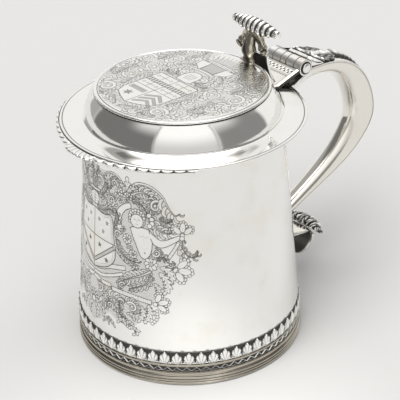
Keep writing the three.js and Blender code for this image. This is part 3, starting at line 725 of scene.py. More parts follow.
def draw_right_half(sheet):
    """Everything round the shield, from the hatched ground up; it runs out from the middle of the front."""
    ground = [(0, 131), (5, 128), (10, 128), (20, 128), (27, 124.5), (33, 126), (42, 126.5), (49, 122),
              (54, 113), (55, 106), (53, 99), (47, 92), (50, 85), (53, 79), (55, 71), (53, 62), (46, 56),
              (43, 51), (39, 44), (34, 37), (28, 34), (20, 36), (14, 38), (8, 31), (0, 27)]
    sheet.hatch(smooth_path(ground, 120), 28, 0.9, 0.52, 0.14)
    # crest of the arch: two great plumes that curl away from a trefoil
    plume(sheet, [(29.5, 122.2), (36, 126.6), (44.4, 125.6), (51, 120.8), (54.8, 113.8), (58.4, 109.6),
                  (61.4, 110.6)], 9.5, 9, (-1,))
    plume(sheet, [(31, 118.8), (37, 121.4), (42.6, 120.4), (46, 116)], 6.4, 6)
    scroll(sheet, (47, 114.2), 3.8, 60, 1.2, 1, 2, 7)
    plume(sheet, [(43.6, 111.6), (45, 105.4), (49, 99.8), (55.4, 98.4), (57, 101.4)], 6.4, 7)
    plume(sheet, [(49.6, 107.8), (53, 104.8), (57, 106.2)], 4.2, 4)
    plume(sheet, [(26.6, 122.4), (21.4, 127.6), (13.4, 127.9), (9, 123.2), (11.4, 118.2), (16.4, 118.6)],
          7.6, 9, (1,))
    scroll(sheet, (18.4, 122.4), 2.9, 330, 1.2, 1, 1.5, 6)
    jagged(sheet, [(28, 119.8), (28.6, 124.4), (28.4, 129.4)], 4.4, 3)
    jagged(sheet, [(28, 120), (32.4, 123), (33, 126)], 3, 3)
    jagged(sheet, [(28, 120), (24.4, 123.2), (24.2, 126)], 3, 3)
    for x, z, r in [(21.2, 117.4, 2.6), (25.6, 118.2, 2.4), (30, 117.2, 2.2), (23.6, 113.9, 2.1),
                    (17.4, 112.6, 2.2), (28.2, 114.9, 1.7)]:
        flower(sheet, (x, z), r, 5, 20 * x)
    plume(sheet, [(32, 115.6), (36, 115.4), (40.4, 111.4), (42.6, 106)], 4.6, 6)
    draw_putto(sheet)
    for x, z in [(42.8, 108.2), (44.4, 106), (44.6, 103.6), (43, 101.8)]:
        disc(sheet, (x, z), 1.5, 0.42)
    # the bunch of flowers that the boy holds, with its ribbon
    tulip(sheet, (62.4, 97.4), 86, 8.6)
    plume(sheet, [(62.8, 94.6), (63, 88.6), (66, 84.2), (70.2, 84), (71.4, 87.2)], 4.4, 6)
    jagged(sheet, [(61.6, 94.4), (60.4, 88.8), (61.9, 81.4)], 3.2, 4)
    ribbon(sheet, [(60.4, 93.4), (57.6, 88.4), (54, 83)], 2, 6)
    disc(sheet, (62.2, 95.6), 1.4)
    # scroll frame between the shield and the boy
    ribbon(sheet, [(18, 92.4), (19, 86), (22.4, 80.2), (28, 76.2), (36, 74.6)], 2.2, 0)
    plume(sheet, [(21, 88), (24, 81.6), (29.6, 78), (37, 77.6)], 5.2, 7)
    scroll(sheet, (21, 91.6), 2.9, 20, 1.2, 1, 1.6, 5)
    for x, z, r, n in [(28.2, 91, 3.1, 8), (32.2, 82.2, 2.7, 8), (43.6, 78.2, 4.1, 8), (33.6, 73, 2.3, 6),
                       (25.8, 96.6, 1.6, 5)]:
        flower(sheet, (x, z), r, n)
    for k in range(3):
        sheet.line([(27.6, 87.4 - 1.1 * k), (32, 87.0 - 1.1 * k)], 0.5, 0.9)
    scroll(sheet, (47, 85.8), 2.7, 200, 1.2, 1, 1.6, 6)
    plume(sheet, [(47.6, 81.4), (51.4, 83.6), (53.4, 80)], 3.6, 4)
    # right-hand blossoms and toothed leaves
    tulip(sheet, (57.6, 76.2), -12, 10.4)
    scroll(sheet, (55.4, 79.2), 2, 200, 1.1, 1, 1.2, 5)
    jagged(sheet, [(49, 77), (53.4, 75.2), (55.8, 71), (55.6, 66.2)], 5, 5)
    jagged(sheet, [(48.4, 73.6), (52.4, 69.4), (53.4, 64), (50.6, 59.6)], 5.4, 6)
    jagged(sheet, [(45.4, 66.4), (48, 62.6), (46.6, 58.4)], 3.8, 4)
    plume(sheet, [(43.6, 73.6), (37.4, 69.8), (30.4, 66.4), (22.4, 61.4)], 7, 8)
    plume(sheet, [(44.4, 70.4), (40.6, 65), (34, 61.4), (29.4, 59.4)], 5.2, 6)
    scroll(sheet, (24.4, 59.8), 2.6, 30, 1.2, 1, 1.5, 5)
    # swags below the shield
    ribbon(sheet, [(0.5, 64.6), (8, 66), (16, 69.2), (27, 71.8)], 2.8, 22)
    ribbon(sheet, [(0.5, 60.4), (8, 60.6), (16, 63.4), (25, 67.4)], 2, 0)
    ribbon(sheet, [(0.5, 57.6), (8, 56.4), (16, 56.8)], 2.4, 0)
    ribbon(sheet, [(16.6, 55.4), (30, 55.2), (43.6, 53.6)], 2.8, 22)
    ribbon(sheet, [(16, 55), (12, 49.2), (5.8, 42.4)], 2.6, 14)
    tulip(sheet, (45.8, 53), 18, 8.8)
    beads(sheet, [(46.6, 49.6), (46.8, 44), (43.4, 39.4)], 1)
    jagged(sheet, [(41.6, 51.8), (42.6, 46), (39, 39)], 5.2, 6)
    jagged(sheet, [(37.4, 50.4), (38.4, 45), (35, 38.8)], 4.4, 5)
    scroll(sheet, (31.2, 47.6), 3.7, 150, 1.2, -1, 2, 7)
    plume(sheet, [(25.6, 51.6), (22.6, 46.4), (22.8, 40.6), (27, 38.4)], 4.8, 6)
    plume(sheet, [(11, 39.6), (12.4, 45.2), (17.4, 49.6), (22, 48.2), (22.2, 44)], 7.4, 7)
    scroll(sheet, (15.2, 43.2), 2.8, 320, 1.2, 1, 1.6, 5)
    flower(sheet, (29.7, 35.6), 2.9, 8)
    jagged(sheet, [(31.6, 35), (34.8, 32.4), (31.4, 29.2)], 3.4, 4)
    jagged(sheet, [(27.6, 34.4), (24.6, 37.4), (20.6, 34)], 3.4, 4)
    jagged(sheet, [(33, 39), (31.6, 42.6), (27.6, 42.8)], 3.2, 4)
    for x in (11.8, 14.4, 17):
        jagged(sheet, [(14.4, 35.4), (x, 32.8), (2 * x - 14.4, 29.8)], 2.2, 3)
    # the shell at the foot of the arms
    for k in range(4):
        angle = math.radians(80 - 24 * k)
        jagged(sheet, [(0, 40.6), (6.6 * math.cos(angle), 40.6 + 7.4 * math.sin(angle))], 3.2, 3)
    disc(sheet, (0, 41), 1.8)
    scroll(sheet, (6.2, 52.2), 3.4, 250, 1.2, 1, 1.8, 5)
    jagged(sheet, [(1, 38.6), (4.6, 35), (3, 29.6)], 3.8, 4)
    jagged(sheet, [(6, 40.6), (9.6, 38), (9.8, 33)], 3.4, 4)


def draw_lid_half(sheet):
    """Mantling round the arms on the lid; x runs out from the axis and y up towards the hinge."""
    sheet.hatch(ring_points((0, 0), 47, 90), 35, 0.95, 0.5, 0.1)
    sheet.clear([(0, 25), (12, 24), (14, 48), (0, 48)], 0)
    for x, y, r, start, hand in [
            (27, 33.5, 7.4, 200, -1), (38.5, 22.5, 6.2, 150, -1), (25.5, 19.5, 7.6, 250, 1),
            (40.5, 7.5, 6.6, 140, -1), (27.5, 3.5, 7.4, 100, 1), (40, -9, 6.2, 120, -1),
            (28.5, -13, 7.8, 80, 1), (33, -27, 7.2, 60, -1), (23.5, -33.5, 6, 20, 1),
            (13, -42, 3.6, 60, -1), (17.5, 27, 4.2, 240, -1), (16, 10, 4.6, 250, 1),
            (8, 11.6, 4, 200, 1), (45, -1.6, 3.2, 100, 1), (36, -37, 3.6, 40, 1)]:
        scroll(sheet, (x, y), r, start, 1.3, hand, 2.9, 8, 0.36)
    for points, width, count in [
            ([(17.5, 2.5), (20, 10), (17.6, 18), (12, 22.5)], 6.6, 8),
            ([(19, -4), (22.6, -9), (21.4, -18), (19.4, -24)], 6, 8),
            ([(31, 26.6), (33.6, 19), (32, 12.6)], 5.4, 7),
            ([(34.4, -3), (35.4, -9), (34, -16)], 5, 6),
            ([(33, -19), (38.6, -19.6), (42, -15.4)], 5, 6),
            ([(18, -35), (13.6, -38.2), (7, -39.6), (1.5, -43.4)], 5.8, 7),
            ([(27, -38), (22, -41), (17, -40.6)], 4.6, 6),
            ([(22, 28), (19.4, 34), (21.4, 40.4)], 5, 6),
            ([(33, 33), (34.4, 28), (40, 26)], 4.6, 5),
            ([(10, 5), (14, 4), (18, 6)], 4.2, 5),
            ([(3, 8), (8, 5.6), (12.6, 8.8)], 4, 5)]:
        plume(sheet, points, width * 1.15, max(3, count - 2), line=0.36)


def draw_lid_crest(sheet):
    """Helm, wreath, a tower between two pennons, and a sheaf of flames over it."""
    soft_shape(sheet, [(-5.4, 2.4), (5.4, 2.4), (6.2, 7.6), (5.4, 12.6), (2.4, 15.4), (-2.4, 15.4),
                       (-5.4, 12.6), (-6.2, 7.6)], 70)
    for x in (-3, -1, 1, 3):
        sheet.line([(x * 0.8, 5.6), (x, 9), (x * 0.8, 12)], 0.5, 0.8)
    ribbon(sheet, [(-9, 18.4), (0, 19.6), (9, 18.4)], 2.2, 12)
    tower = [(-5.6, 21), (5.6, 21), (6.6, 30.6), (-6.6, 30.6)]
    sheet.shape(tower, 0.45)
    sheet.hatch(tower, 90, 0.9, 0.7, 0.25)
    for side in (-1, 1):
        sheet.shape([(side * 6.6, 30.4), (side * 14.4, 30), (side * 13, 24), (side * 6, 19.6)], 0.45)
    ribbon(sheet, [(-12.6, 32), (0, 33), (12.6, 32)], 1.8, 18)
    for k in range(-9, 10):
        foot = np.array([k * 1.15, 33.8])
        tip = np.array([k * 1.5, 44.5 - 0.05 * k * k - (2.6 if k % 2 else 0)])
        sheet.line([foot, (foot + tip) / 2 + (0.4, 0), tip], 0.6, 0.8, taper=True)
        sheet.line([foot + (0.5, 1), tip - (0.2, 3)], 0.3, 0.5)


def draw_lid_arms(sheet):
    """A quartered shield with stars, bars and chevrons, of no family's pattern."""
    sheet.shape([(-17, 1), (17, 1), (17, -26), (14.6, -32), (8, -35.4), (0, -38.4), (-8, -35.4),
                 (-14.6, -32), (-17, -26)], 0.55)
    sheet.line([(0, 1), (0, -38)], 0.5)
    for y in (-6.8, -10.4, -17.4):
        sheet.line([(-17, y), (17, y)], 0.45)
    sheet.hatch([(-17, -6.8), (17, -6.8), (17, -10.4), (-17, -10.4)], 90, 2.4, 0.85, 0.15)
    for x, y in [(-8.5, -2.9), (8.5, -2.9), (-8.5, -13.8), (8.5, -13.8)]:
        sheet.line([(x - 3.4, y), (x + 3.4, y)], 0.8, 0.6)
        sheet.line([(x, y - 2.8), (x, y + 2.8)], 0.8, 0.6)
        for dx in (-5.6, 5.6):
            disc(sheet, (x + dx, y), 0.9, 0.35)
    sheet.hatch([(-15.4, -20), (-1.8, -20), (-1.8, -24.4), (-15.4, -24.4)], 0, 0.8, 0.75, 0.35)
    star(sheet, (-8.6, -29.4), 3.8, 6, 0.7)
    for k in range(3):
        y = -20.2 - 4.4 * k
        for up, width, depth in ((0, 1.9, 0.55), (-1.1, 0.35, 0.9), (1.1, 0.35, 0.9)):
            sheet.line([(1.8, y - 4.6 + up), (8.4, y + up), (15.4, y - 4.6 + up)], width, depth)


def barrel_sheet():
    sheet = Sheet((-74, 24), (74, 133), SHEET_STEP)
    draw_right_half(sheet)
    draw_helm(sheet)
    draw_arms(sheet)
    sheet.mirror()
    return sheet


def lid_sheet():
    sheet = Sheet((-52, -49), (52, 49), SHEET_STEP)
    draw_lid_half(sheet)
    sheet.mirror()
    draw_lid_crest(sheet)
    draw_lid_arms(sheet)
    return sheet


# ---- body ----

def ring(name, outline, node, body=BODY, material=polished, sharp=38, loop=True, grooves=()):
    """A turned piece; grooves are (radius, z, width, soot_and_shade): how much its outline is darkened in
    its creases.
    """
    outline = np.asarray(outline, float)
    shade = np.zeros(len(outline))
    for radius, z, width, soot_and_shade in grooves:
        shade[np.hypot(outline[:, 0] - radius, outline[:, 1] - z) < width] = soot_and_shade
    make(name, turned(outline, circle(240)), body, node, material, sharp, loop, shade)


def relief_ring(name, node, outer, low, top, field, columns, rows, depth):
    """A band whose face is a field: field(turn, rise) gives height, from 0 (ground) to 1 (top), and
    darkness, soot and painted shade on its ground; its top and bottom faces are painted darker after its
    edge rows.
    """
    turn = np.linspace(0, 1, columns, endpoint=False)
    angles = 2 * math.pi * turn
    rise = np.linspace(0, 1, rows)
    height, dark = field(*np.meshgrid(turn, rise))
    z = low + rise[:, None] * (top - low) + 0 * height
    edge = np.minimum(1, np.minimum(rise, 1 - rise)[:, None] * rows / 3)
    radius = outer - depth * (1 - height) - 0.25 * (1 - edge)
    z = np.vstack([z, z[-1:], z[:1]])
    radius = np.vstack([radius, np.full((2, columns), BAND_INNER)])
    shade = np.vstack([dark, 0.55 * dark[-1:], 0.6 * dark[:1]])
    points = np.stack([-radius * np.cos(angles), -radius * np.sin(angles), z], -1)
    make(name, points, BODY, node, cast_silver, 60, True, shade)


def meander(turn, rise):
    """The zigzag wire between two plain borders."""
    phase = (turn * ZIGZAGS) % 1
    line = 0.08 + 0.84 * (1 - np.abs(2 * phase - 1))
    away = np.abs(rise - line) * 3.0
    wire = unit(1.25 - away / 0.42) ** 0.7
    border = unit(1 - np.minimum(rise, 1 - rise) * 3.0 / 0.22)
    height = np.maximum(wire, border * 0.6)
    return height, unit(1.2 - 1.5 * height)


def leaves(turn, rise):
    """Upright cut leaves, each a fan of lobes; x and v are millimetres from the foot of its middle rib."""
    x = ((turn * LEAVES) % 1 - 0.5) * 7.17
    which = np.floor(turn * LEAVES)
    wobble = 0.12 * np.sin(which * 2.4) + 0.08 * np.sin(which * 5.1 + 1)
    v = rise * 7.9
    reach = np.hypot(x, v + 0.6)
    fan = np.degrees(np.arctan2(x, v + 0.6))
    rib = np.abs(((fan + 14) % 28) - 14) / 14
    tip = np.interp(np.abs(fan), [0, 14, 28, 56, 80, 90], [8.7, 7.7, 6.3, 4.7, 4.0, 3.8]) + wobble
    edge = tip - 1.25 * rib ** 1.8
    body = unit((edge - reach) / 0.45) * unit((3.35 - np.abs(x)) / 0.35)
    low_band = unit((0.5 - v) / 0.3)
    height = np.maximum(body * (1 - 0.6 * rib ** 1.5), low_band * 0.8)
    # the ground between the leaves is dark with oxide and painted shade; the lines between the lobes are
    # darker too
    dark = unit(1.15 - 1.15 * body) + body * 0.75 * rib ** 4
    return height, unit(np.where(low_band > 0.3, 0.35 * (1 - low_band), dark))


def build_foot():
    ring("foot_moulding_turned", profile(
        ((62, 0.1), (62.2, 0), (67.9, 0), (68.5, 0.3)),
        [(68.5, 0.3), (69.0, 1.0), (68.85, 1.7), (68.45, 2.05)],
        [(68.3, 2.2), (68.75, 2.5), (68.95, 3.0), (68.8, 3.5), (68.45, 3.85)],
        [(68.3, 3.95), (68.7, 4.25), (68.85, 4.8), (68.7, 5.3), (68.2, 5.75)],
        [(68.2, 5.75), (67.7, 6.4), (67.5, 7.3), (67.75, 8.3), (68.2, 8.8)],
        [(68.2, 8.8), (68.5, 8.95), (68.5, 9.15), (68.1, 9.2)],
        ((67.2, 9.2), (67.2, 3.8)),
        ((62, 3.8), (62, 0.1)),
    ), "foot_moulding", material=foot_silver, sharp=48, grooves=[
        (68.35, 2.1, 0.3, 0.9), (68.35, 3.9, 0.3, 0.9), (68.2, 5.75, 0.3, 0.8), (68.2, 8.8, 0.25, 0.6)])
    ring("base_fillet_turned", profile(
        ((67.2, 12.8), (68.2, 12.8)),
        [(68.2, 12.8), (68.55, 13.0), (68.7, 13.55), (68.55, 14.1), (68.2, 14.3)],
        ((68.2, 14.3), (67.2, 14.3)),
    ), "base_fillet", material=foot_silver, grooves=[(68.2, 12.8, 0.2, 0.8), (68.2, 14.3, 0.2, 0.8)])
    ring("floor_plate_turned", [(0.5, 7.0), (40, 7.0), (65.3, 7.05), (65.3, 8.1), (40, 8.2), (0.5, 8.2)],
         "floor_plate", loop=False)
    relief_ring("meander_wire", "foot_meander_wire", 68.4, 9.5, 12.5, meander, ZIGZAGS * 20, 22, 0.8)
    relief_ring("leaf_band_cast", "leaf_band", 68.5, 14.6, 22.5, leaves, LEAVES * 26, 40, 1.15)


def build_barrel():
    # fine steps of angle across the engraving and wide ones round the back
    turns = np.radians(np.concatenate([np.arange(-68, 68, 0.27), np.arange(68, 292, 2.0)]) + ARMS_TURN)
    heights = np.arange(24, 136.0, 0.3)
    outline = np.array(
        [(66.9, 4.1), (66.9, 22.4), (67.3, 22.9), SHOULDER] + [(skin_radius(z), z) for z in heights]
        + [(RIM[0], 142.2), (RIM[0] - 0.25, 142.6), (RIM[0] - 0.95, 142.6), (RIM[0] - SHEET, 142.2),
           (SHOULDER[0] - SHEET, SHOULDER[1]), (65.7, 22.4), (65.7, 4.1)])
    rows = turned(outline, turns)
    cut = np.zeros(rows.shape[:2])
    beside = (turns - math.radians(ARMS_TURN)) * UNROLL_RADIUS
    cut[4:4 + len(heights)] = barrel_sheet().read(*np.meshgrid(beside, heights))
    shade = cut.copy()
    # tarnish and painted shade that creep up between the leaves, over the lowest rows
    foot = slice(2, 40)
    ragged = (np.sin(31 * turns) + np.sin(47 * turns + 1)
              + 0.8 * np.sin(113 * turns + 2) + 0.6 * np.sin(171 * turns))
    between = 0.5 + 0.5 * np.cos(turns * LEAVES)
    creep = (0.35 + 1.5 * between + 0.25 * ragged)[None].clip(0.15)
    tarnish_and_shade = unit(1 - (outline[foot, 1] - 22.3)[:, None] / creep)
    shade[foot] = np.maximum(shade[foot], 0.85 * np.sqrt(tarnish_and_shade) * (0.15 + 0.85 * between))
    inward = np.stack([np.cos(turns), np.sin(turns), 0 * turns], -1)[None] * cut[..., None] * BARREL_CUT
    make("barrel_engraved", rows + inward, BODY, "barrel", engraved, 50, True, shade)

    def proud(z, out, at=None):
        """A point that stands out from the skin's radius at z."""
        return (skin_radius(z) + out, z if at is None else at)

    ring("lip_moulding_turned", profile(
        (proud(137, 0.3), proud(137, 0.9, 137.1)),
        [proud(137, 0.9, 137.1), proud(138, 1.2, 137.7), proud(139, 1.0, 138.6), proud(139.4, 0.6, 139.2)],
        [proud(139.6, 0.75, 139.5), proud(140.6, 1.5, 140.4), proud(141.6, 1.4, 141.4), proud(142.2, 0.6)],
        (proud(142.4, 0.3), proud(137, 0.3)),
    ), "lip_moulding")


# ---- lid ----

def build_lid():
    # the raised part is an arc of a circle that stops short of upright at its foot
    arc = np.radians(np.linspace(40, 14, 9))
    raised = np.stack([26.0 + 32.9 * np.cos(arc), 138.45 + 32.9 * np.sin(arc)], 1)
    shell = profile(
        ((0.4, 159.9), (51.0, 159.9)),
        raised,
        [(57.75, 146.3), (58.0, 146.1), (58.05, 145.8), (57.85, 145.5)],
        [(57.85, 145.5), (58.7, 145.1), (60.2, 144.8), (62.0, 144.63), (64.0, 144.56)],
        ((64.0, 144.56), (69.3, 144.45), (69.4, 144.2), (69.85, 144.2), (69.95, 144.45), (70.9, 144.42)),
        [(70.9, 144.42), (71.15, 144.25), (71.22, 143.7), (71.1, 143.2), (70.7, 143.1)],
        ((70.7, 143.1), (60.6, 143.1), (55.4, 146.8), (55.8, 150.4), (53.6, 153.6), (48.6, 158.5),
         (0.4, 158.5)),
    )
    dark = np.zeros(len(shell))
    for radius, z, width, soot_and_shade in ((57.75, 146.32, 0.2, 0.7), (69.62, 144.2, 0.24, 0.65),
                                   (71.2, 144.1, 0.2, 0.4)):
        dark[np.hypot(shell[:, 0] - radius, shell[:, 1] - z) < width] = soot_and_shade
    # painted shadow on the shell's top, just under the disc's edge
    dark[(shell[:, 0] < 51.1) & (shell[:, 1] > 159.8)] = 0.5
    make("lid_shell_raised", turned(shell, circle(300)), LID, "lid_shell", polished, 34, shade=dark)
    ring("lid_bezel_turned", profile(
        ((54.1, 137.7), (54.3, 137.5), (55.2, 137.5), (55.4, 137.7), (55.4, 143.7), (54.1, 144.8),
         (54.1, 137.7))), "lid_bezel", LID)
    build_disc()


def build_disc():
    radii = np.concatenate([np.arange(0.35, 48.3, 0.3), [48.3, 48.42, 48.55, 48.7]])
    flat = np.full(len(radii), 161.62)
    flat[-4:] = (161.6, 161.42, 161.36, 161.36)
    rim = profile(
        [(48.8, 161.42), (49.0, 161.66), (49.5, 161.8), (50.2, 161.74), (50.6, 161.5), (50.72, 161.2)],
        [(50.62, 161.1), (50.8, 160.95), (50.8, 160.6), (50.5, 160.3)],
        ((50.3, 160.2), (0.35, 160.2)))
    outline = np.vstack([np.stack([radii, flat], 1), rim])
    rows = turned(outline, circle(900))
    face = slice(len(radii))
    cut = lid_sheet().read(-rows[face, :, 1] - LID_ARMS_SHIFT, rows[face, :, 0])
    cut = cut * (radii < 48.0)[:, None]
    shade = np.zeros(rows.shape[:2])
    shade[face] = cut
    shade[len(radii) - 3:len(radii)] = 0.85
    shade[np.hypot(outline[:, 0] - 50.65, outline[:, 1] - 161.14) < 0.12] = 0.8
    rows[face, :, 2] -= LID_CUT * cut
    make("lid_plate_engraved", rows, LID, "lid_top_disc", plate_silver, 34, shade=shade)


LOBE_CENTRE, LOBE_LAST = 9.5, 58.0


def lip_reach(angle):
    """How far the crenate lip stands out at an angle, in degrees, from the front."""
    valley = FLANGE_RADIUS + 0.7
    side = np.abs(angle)
    middle = valley + 0.8 + (77.2 - valley - 0.8) * np.sqrt(unit(1 - (side / LOBE_CENTRE) ** 4))
    turn = 9 * np.clip(side - LOBE_CENTRE, 0, None) / (LOBE_LAST - LOBE_CENTRE)
    lobe = valley + np.sqrt(np.abs(np.sin(math.pi * turn))) * 2.9 * 0.84 ** np.floor(turn)
    return np.where(side < LOBE_CENTRE, middle, lobe)


def build_front_lip():
    angle = np.linspace(-57.9, 57.9, 900)
    out = lip_reach(angle) - (FLANGE_RADIUS + 0.45)
    section = np.array([(0.0, 0.75), (0.12, 1.0), (0.35, 0.98), (0.6, 0.86), (0.8, 0.66), (0.94, 0.36),
                        (1.0, 0.1), (0.96, -0.35), (0.85, -0.8), (0.5, -1.0)])
    depth, rise = section[:, :1], section[:, 1:]
    thin = np.interp(np.abs(angle), [30, 57], [1.0, 0.45])
    # rays are cut into the middle lobe only
    middle = unit((10.5 - np.abs(angle)) / 1.5)
    groove = np.abs(np.sin(np.radians(angle) * 84 / (1 + 0.35 * depth))) * middle + (1 - middle)
    fade = (depth > 0.05) * (depth * np.clip(out, 0, 2) / 2)
    z = 143.0 + rise * 1.08 * thin + 0.35 * (1 - thin) - 0.22 * (1 - groove) ** 1.5 * fade
    radius = FLANGE_RADIUS + 0.45 + depth * out - 0.2 * (1 - groove) * fade
    for r, low in ((FLANGE_RADIUS - 0.5, 141.95), (66.5, 141.95), (66.5, 142.75),
                   (FLANGE_RADIUS + 0.35, 142.75)):
        radius = np.vstack([radius, np.full(len(angle), r)])
        z = np.vstack([z, low + 0.5 * (1 - thin) * (low < 142)])
    rad = np.radians(angle)
    rows = np.stack([-radius * np.cos(rad), -radius * np.sin(rad), z], -1)
    # painted shadow: notch darkens the gaps between the lobes, where the underside shows through
    notch = unit(1.5 - out / (0.35 + 0.13 * np.arange(len(section))[:, None]))
    notch[:2] = 0
    notch[:, np.abs(angle) > 56.5] = 0.2
    # the rows under the lip are painted shade
    dark = np.full(rows.shape[:2], 0.5)
    dark[:len(section)] = np.maximum(unit((1 - groove) ** 2 * 0.75 * (depth > 0.05)), 0.95 * notch)
    dark[0] = 0.55
    make("front_lip_cast", rows.transpose(1, 0, 2), LID, "front_lip", cast_silver, 50, shade=dark.T)


# ---- hinge and thumbpiece ----

def knuckle(name, low, high, node, body):
    end = [(1.6, 0.1), (1.8, 0), (3.95, 0), (4.15, 0), (4.85, 0), (5.03, 0.07), (5.1, 0.25), (5.1, 0.6)]
    # painted shade: a dark ring round the pin on each end face, and dark bevels in the gaps between the
    # knuckles
    soot_and_shade = [0.95, 0.95, 0.95, 0, 0.1, 0.8, 0.5, 0]
    outline = [(r, low + inset) for r, inset in end] + [(r, high - inset) for r, inset in end[::-1]]
    make(name, turned_across(outline, HINGE, 56), body, node, knuckle_silver, 30, True,
         soot_and_shade + soot_and_shade[::-1])


def build_hinge():
    knuckle("knuckle_fixed_right", -15, -9.5, "fixed_knuckle_right", BODY)
    knuckle("knuckle_fixed_centre", -2.3, 2.3, "fixed_knuckle_centre", BODY)
    knuckle("knuckle_fixed_left", 9.5, 15, "fixed_knuckle_left", BODY)
    knuckle("knuckle_lid_right", -9.2, -2.6, "lid_knuckle_right", LID)
    knuckle("knuckle_lid_left", 2.6, 9.2, "lid_knuckle_left", LID)
    head = profile(((0.05, -15.1), (4.05, -15.1), (4.05, -15.25), (3.2, -15.3)),
                   [(3.15, -15.4), (3.05, -15.8), (2.6, -16.2), (1.6, -16.5), (0.05, -16.6)])
    tail = profile(((0.05, 15.3), (2.9, 15.3)),
                   [(2.9, 15.3), (2.9, 15.6), (2.2, 15.9), (1.0, 16.0), (0.05, 16.0)])
    pin = [(0.05, -15), (1.5, -15), (1.55, -14.9), (1.55, 14.9), (1.5, 15), (0.05, 15)]
    # the pin head's rim is painted dark: painted shade in the ring round it
    for name, outline, count, node, shade in (
            ("pin_head_domed", head, 40, "pin_head", np.clip((head[:, 0] - 2.95) * 5, 0, 0.95)),
            ("pin_rivet_filed", tail, 40, "pin_rivet", None),
            ("hinge_pin_drawn", pin, 32, "hinge_pin", None)):
        make(name, turned_across(outline, HINGE, count), BODY, node, worn_silver, shade=shade)
    build_hinge_plate()
    build_hinge_cover()


def build_hinge_plate():
    """Flat plate with a raised border, two rows of punched dots and a moulded edge on each side."""
    x, y = np.meshgrid(np.linspace(59.9, 76.75, 90), np.linspace(-15, 15, 161), indexing="ij")
    top = np.interp(x, [54, 60, 70, 76.75], [146.4, 146.6, 149.8, 151.9])
    under = np.interp(x, [54, 61.5, 70, 76.75], [144.5, 144.6, 147.6, 149.6])
    side = np.abs(y)
    edge = unit((side - 12.2) / 0.4) - unit((side - 13.4) / 0.4) * 0.6
    ridges = np.maximum(hump(x, 69.6, 0.5), hump(x, 76.0, 0.4)) * (side < 13)
    dots = np.zeros_like(x)
    for at, shift in ((72.4, 0.0), (74.0, 1.6)):
        away = np.hypot(x - at, ((y + shift + 1.6) % 3.2) - 1.6)
        dots = np.maximum(dots, unit(1.6 - away / 0.6) * (side < 12))
    dots = dots * ((x > 70) & (x < 75.6) & (side < 12.2))
    height = -0.28 + 0.28 * np.maximum(edge, ridges) - 0.3 * dots
    height = np.where(side > 14.3, height - (side - 14.3) * 0.8, height)
    dark = unit(dots * 1.2 + 0.35 * (np.abs(x - 70.4) < 0.3))
    # darker in the groove inside the border; painted shade on the outer side edges
    dark = np.maximum(dark, 0.6 * hump(side, 12.1, 0.3))
    dark = np.maximum(dark, 0.9 * unit((side - 14.5) / 0.3))
    # the edge next to the lid follows its round side
    radius = np.hypot(x, y)
    x = x + np.where(radius < 59.75, 59.75 - radius, 0)
    points = np.concatenate([np.stack([x, y, top + height], -1), np.stack([x, y, under], -1)]).reshape(-1, 3)
    number = np.arange(x.size).reshape(x.shape)
    quads = grid_quads(number)
    rim = np.concatenate([number[0, :-1], number[:-1, -1], number[-1, :0:-1], number[:0:-1, 0]])
    after = np.roll(rim, -1)
    walls = np.stack([rim, rim + x.size, after + x.size, after], -1)
    # the underside is all painted dark: the shadow under the plate
    piece = add_mesh("hinge_plate_cast", points, np.vstack([quads, quads[:, ::-1] + x.size, walls[:, ::-1]]),
                     shade=np.concatenate([dark.ravel(), np.full(x.size, 0.85)]))
    finish_piece(piece, LID, "lid_hinge_plate", worn_silver, 35)


def build_hinge_cover():
    outline = np.vstack([knuckle_hollow(68, -6, 14), profile(
        [(97.3, 150.15), (97.3, 151.0)], [(97.3, 151.0), (94.6, 151.2), (92.2, 151.85)],
        [(92.2, 151.85), (89.6, 153.2), (87.4, 154.75), (85.9, 156.0), (84.5, 156.95)])])
    rows = []
    for y in np.linspace(-14.4, 14.4, 41):
        # the two end sections are drawn in a little, to ease the side edges
        pinch = 0.028 if abs(y) > 14.2 else 0.0
        rows.append(np.insert(outline + (np.array([[91.0, 151.4]]) - outline) * pinch, 1, y, 1))
    make("hinge_cover_bent", rows, BODY, "hinge_cover", worn_silver, 30)


BAR_HALF, BAR_PITCH = 20, 3.9


def bar_wave(y, angle):
    """The corkscrew's wave, from 0 in its groove to 1 on its crest."""
    return 0.5 + 0.5 * np.cos(2 * math.pi * (y / BAR_PITCH) - angle)


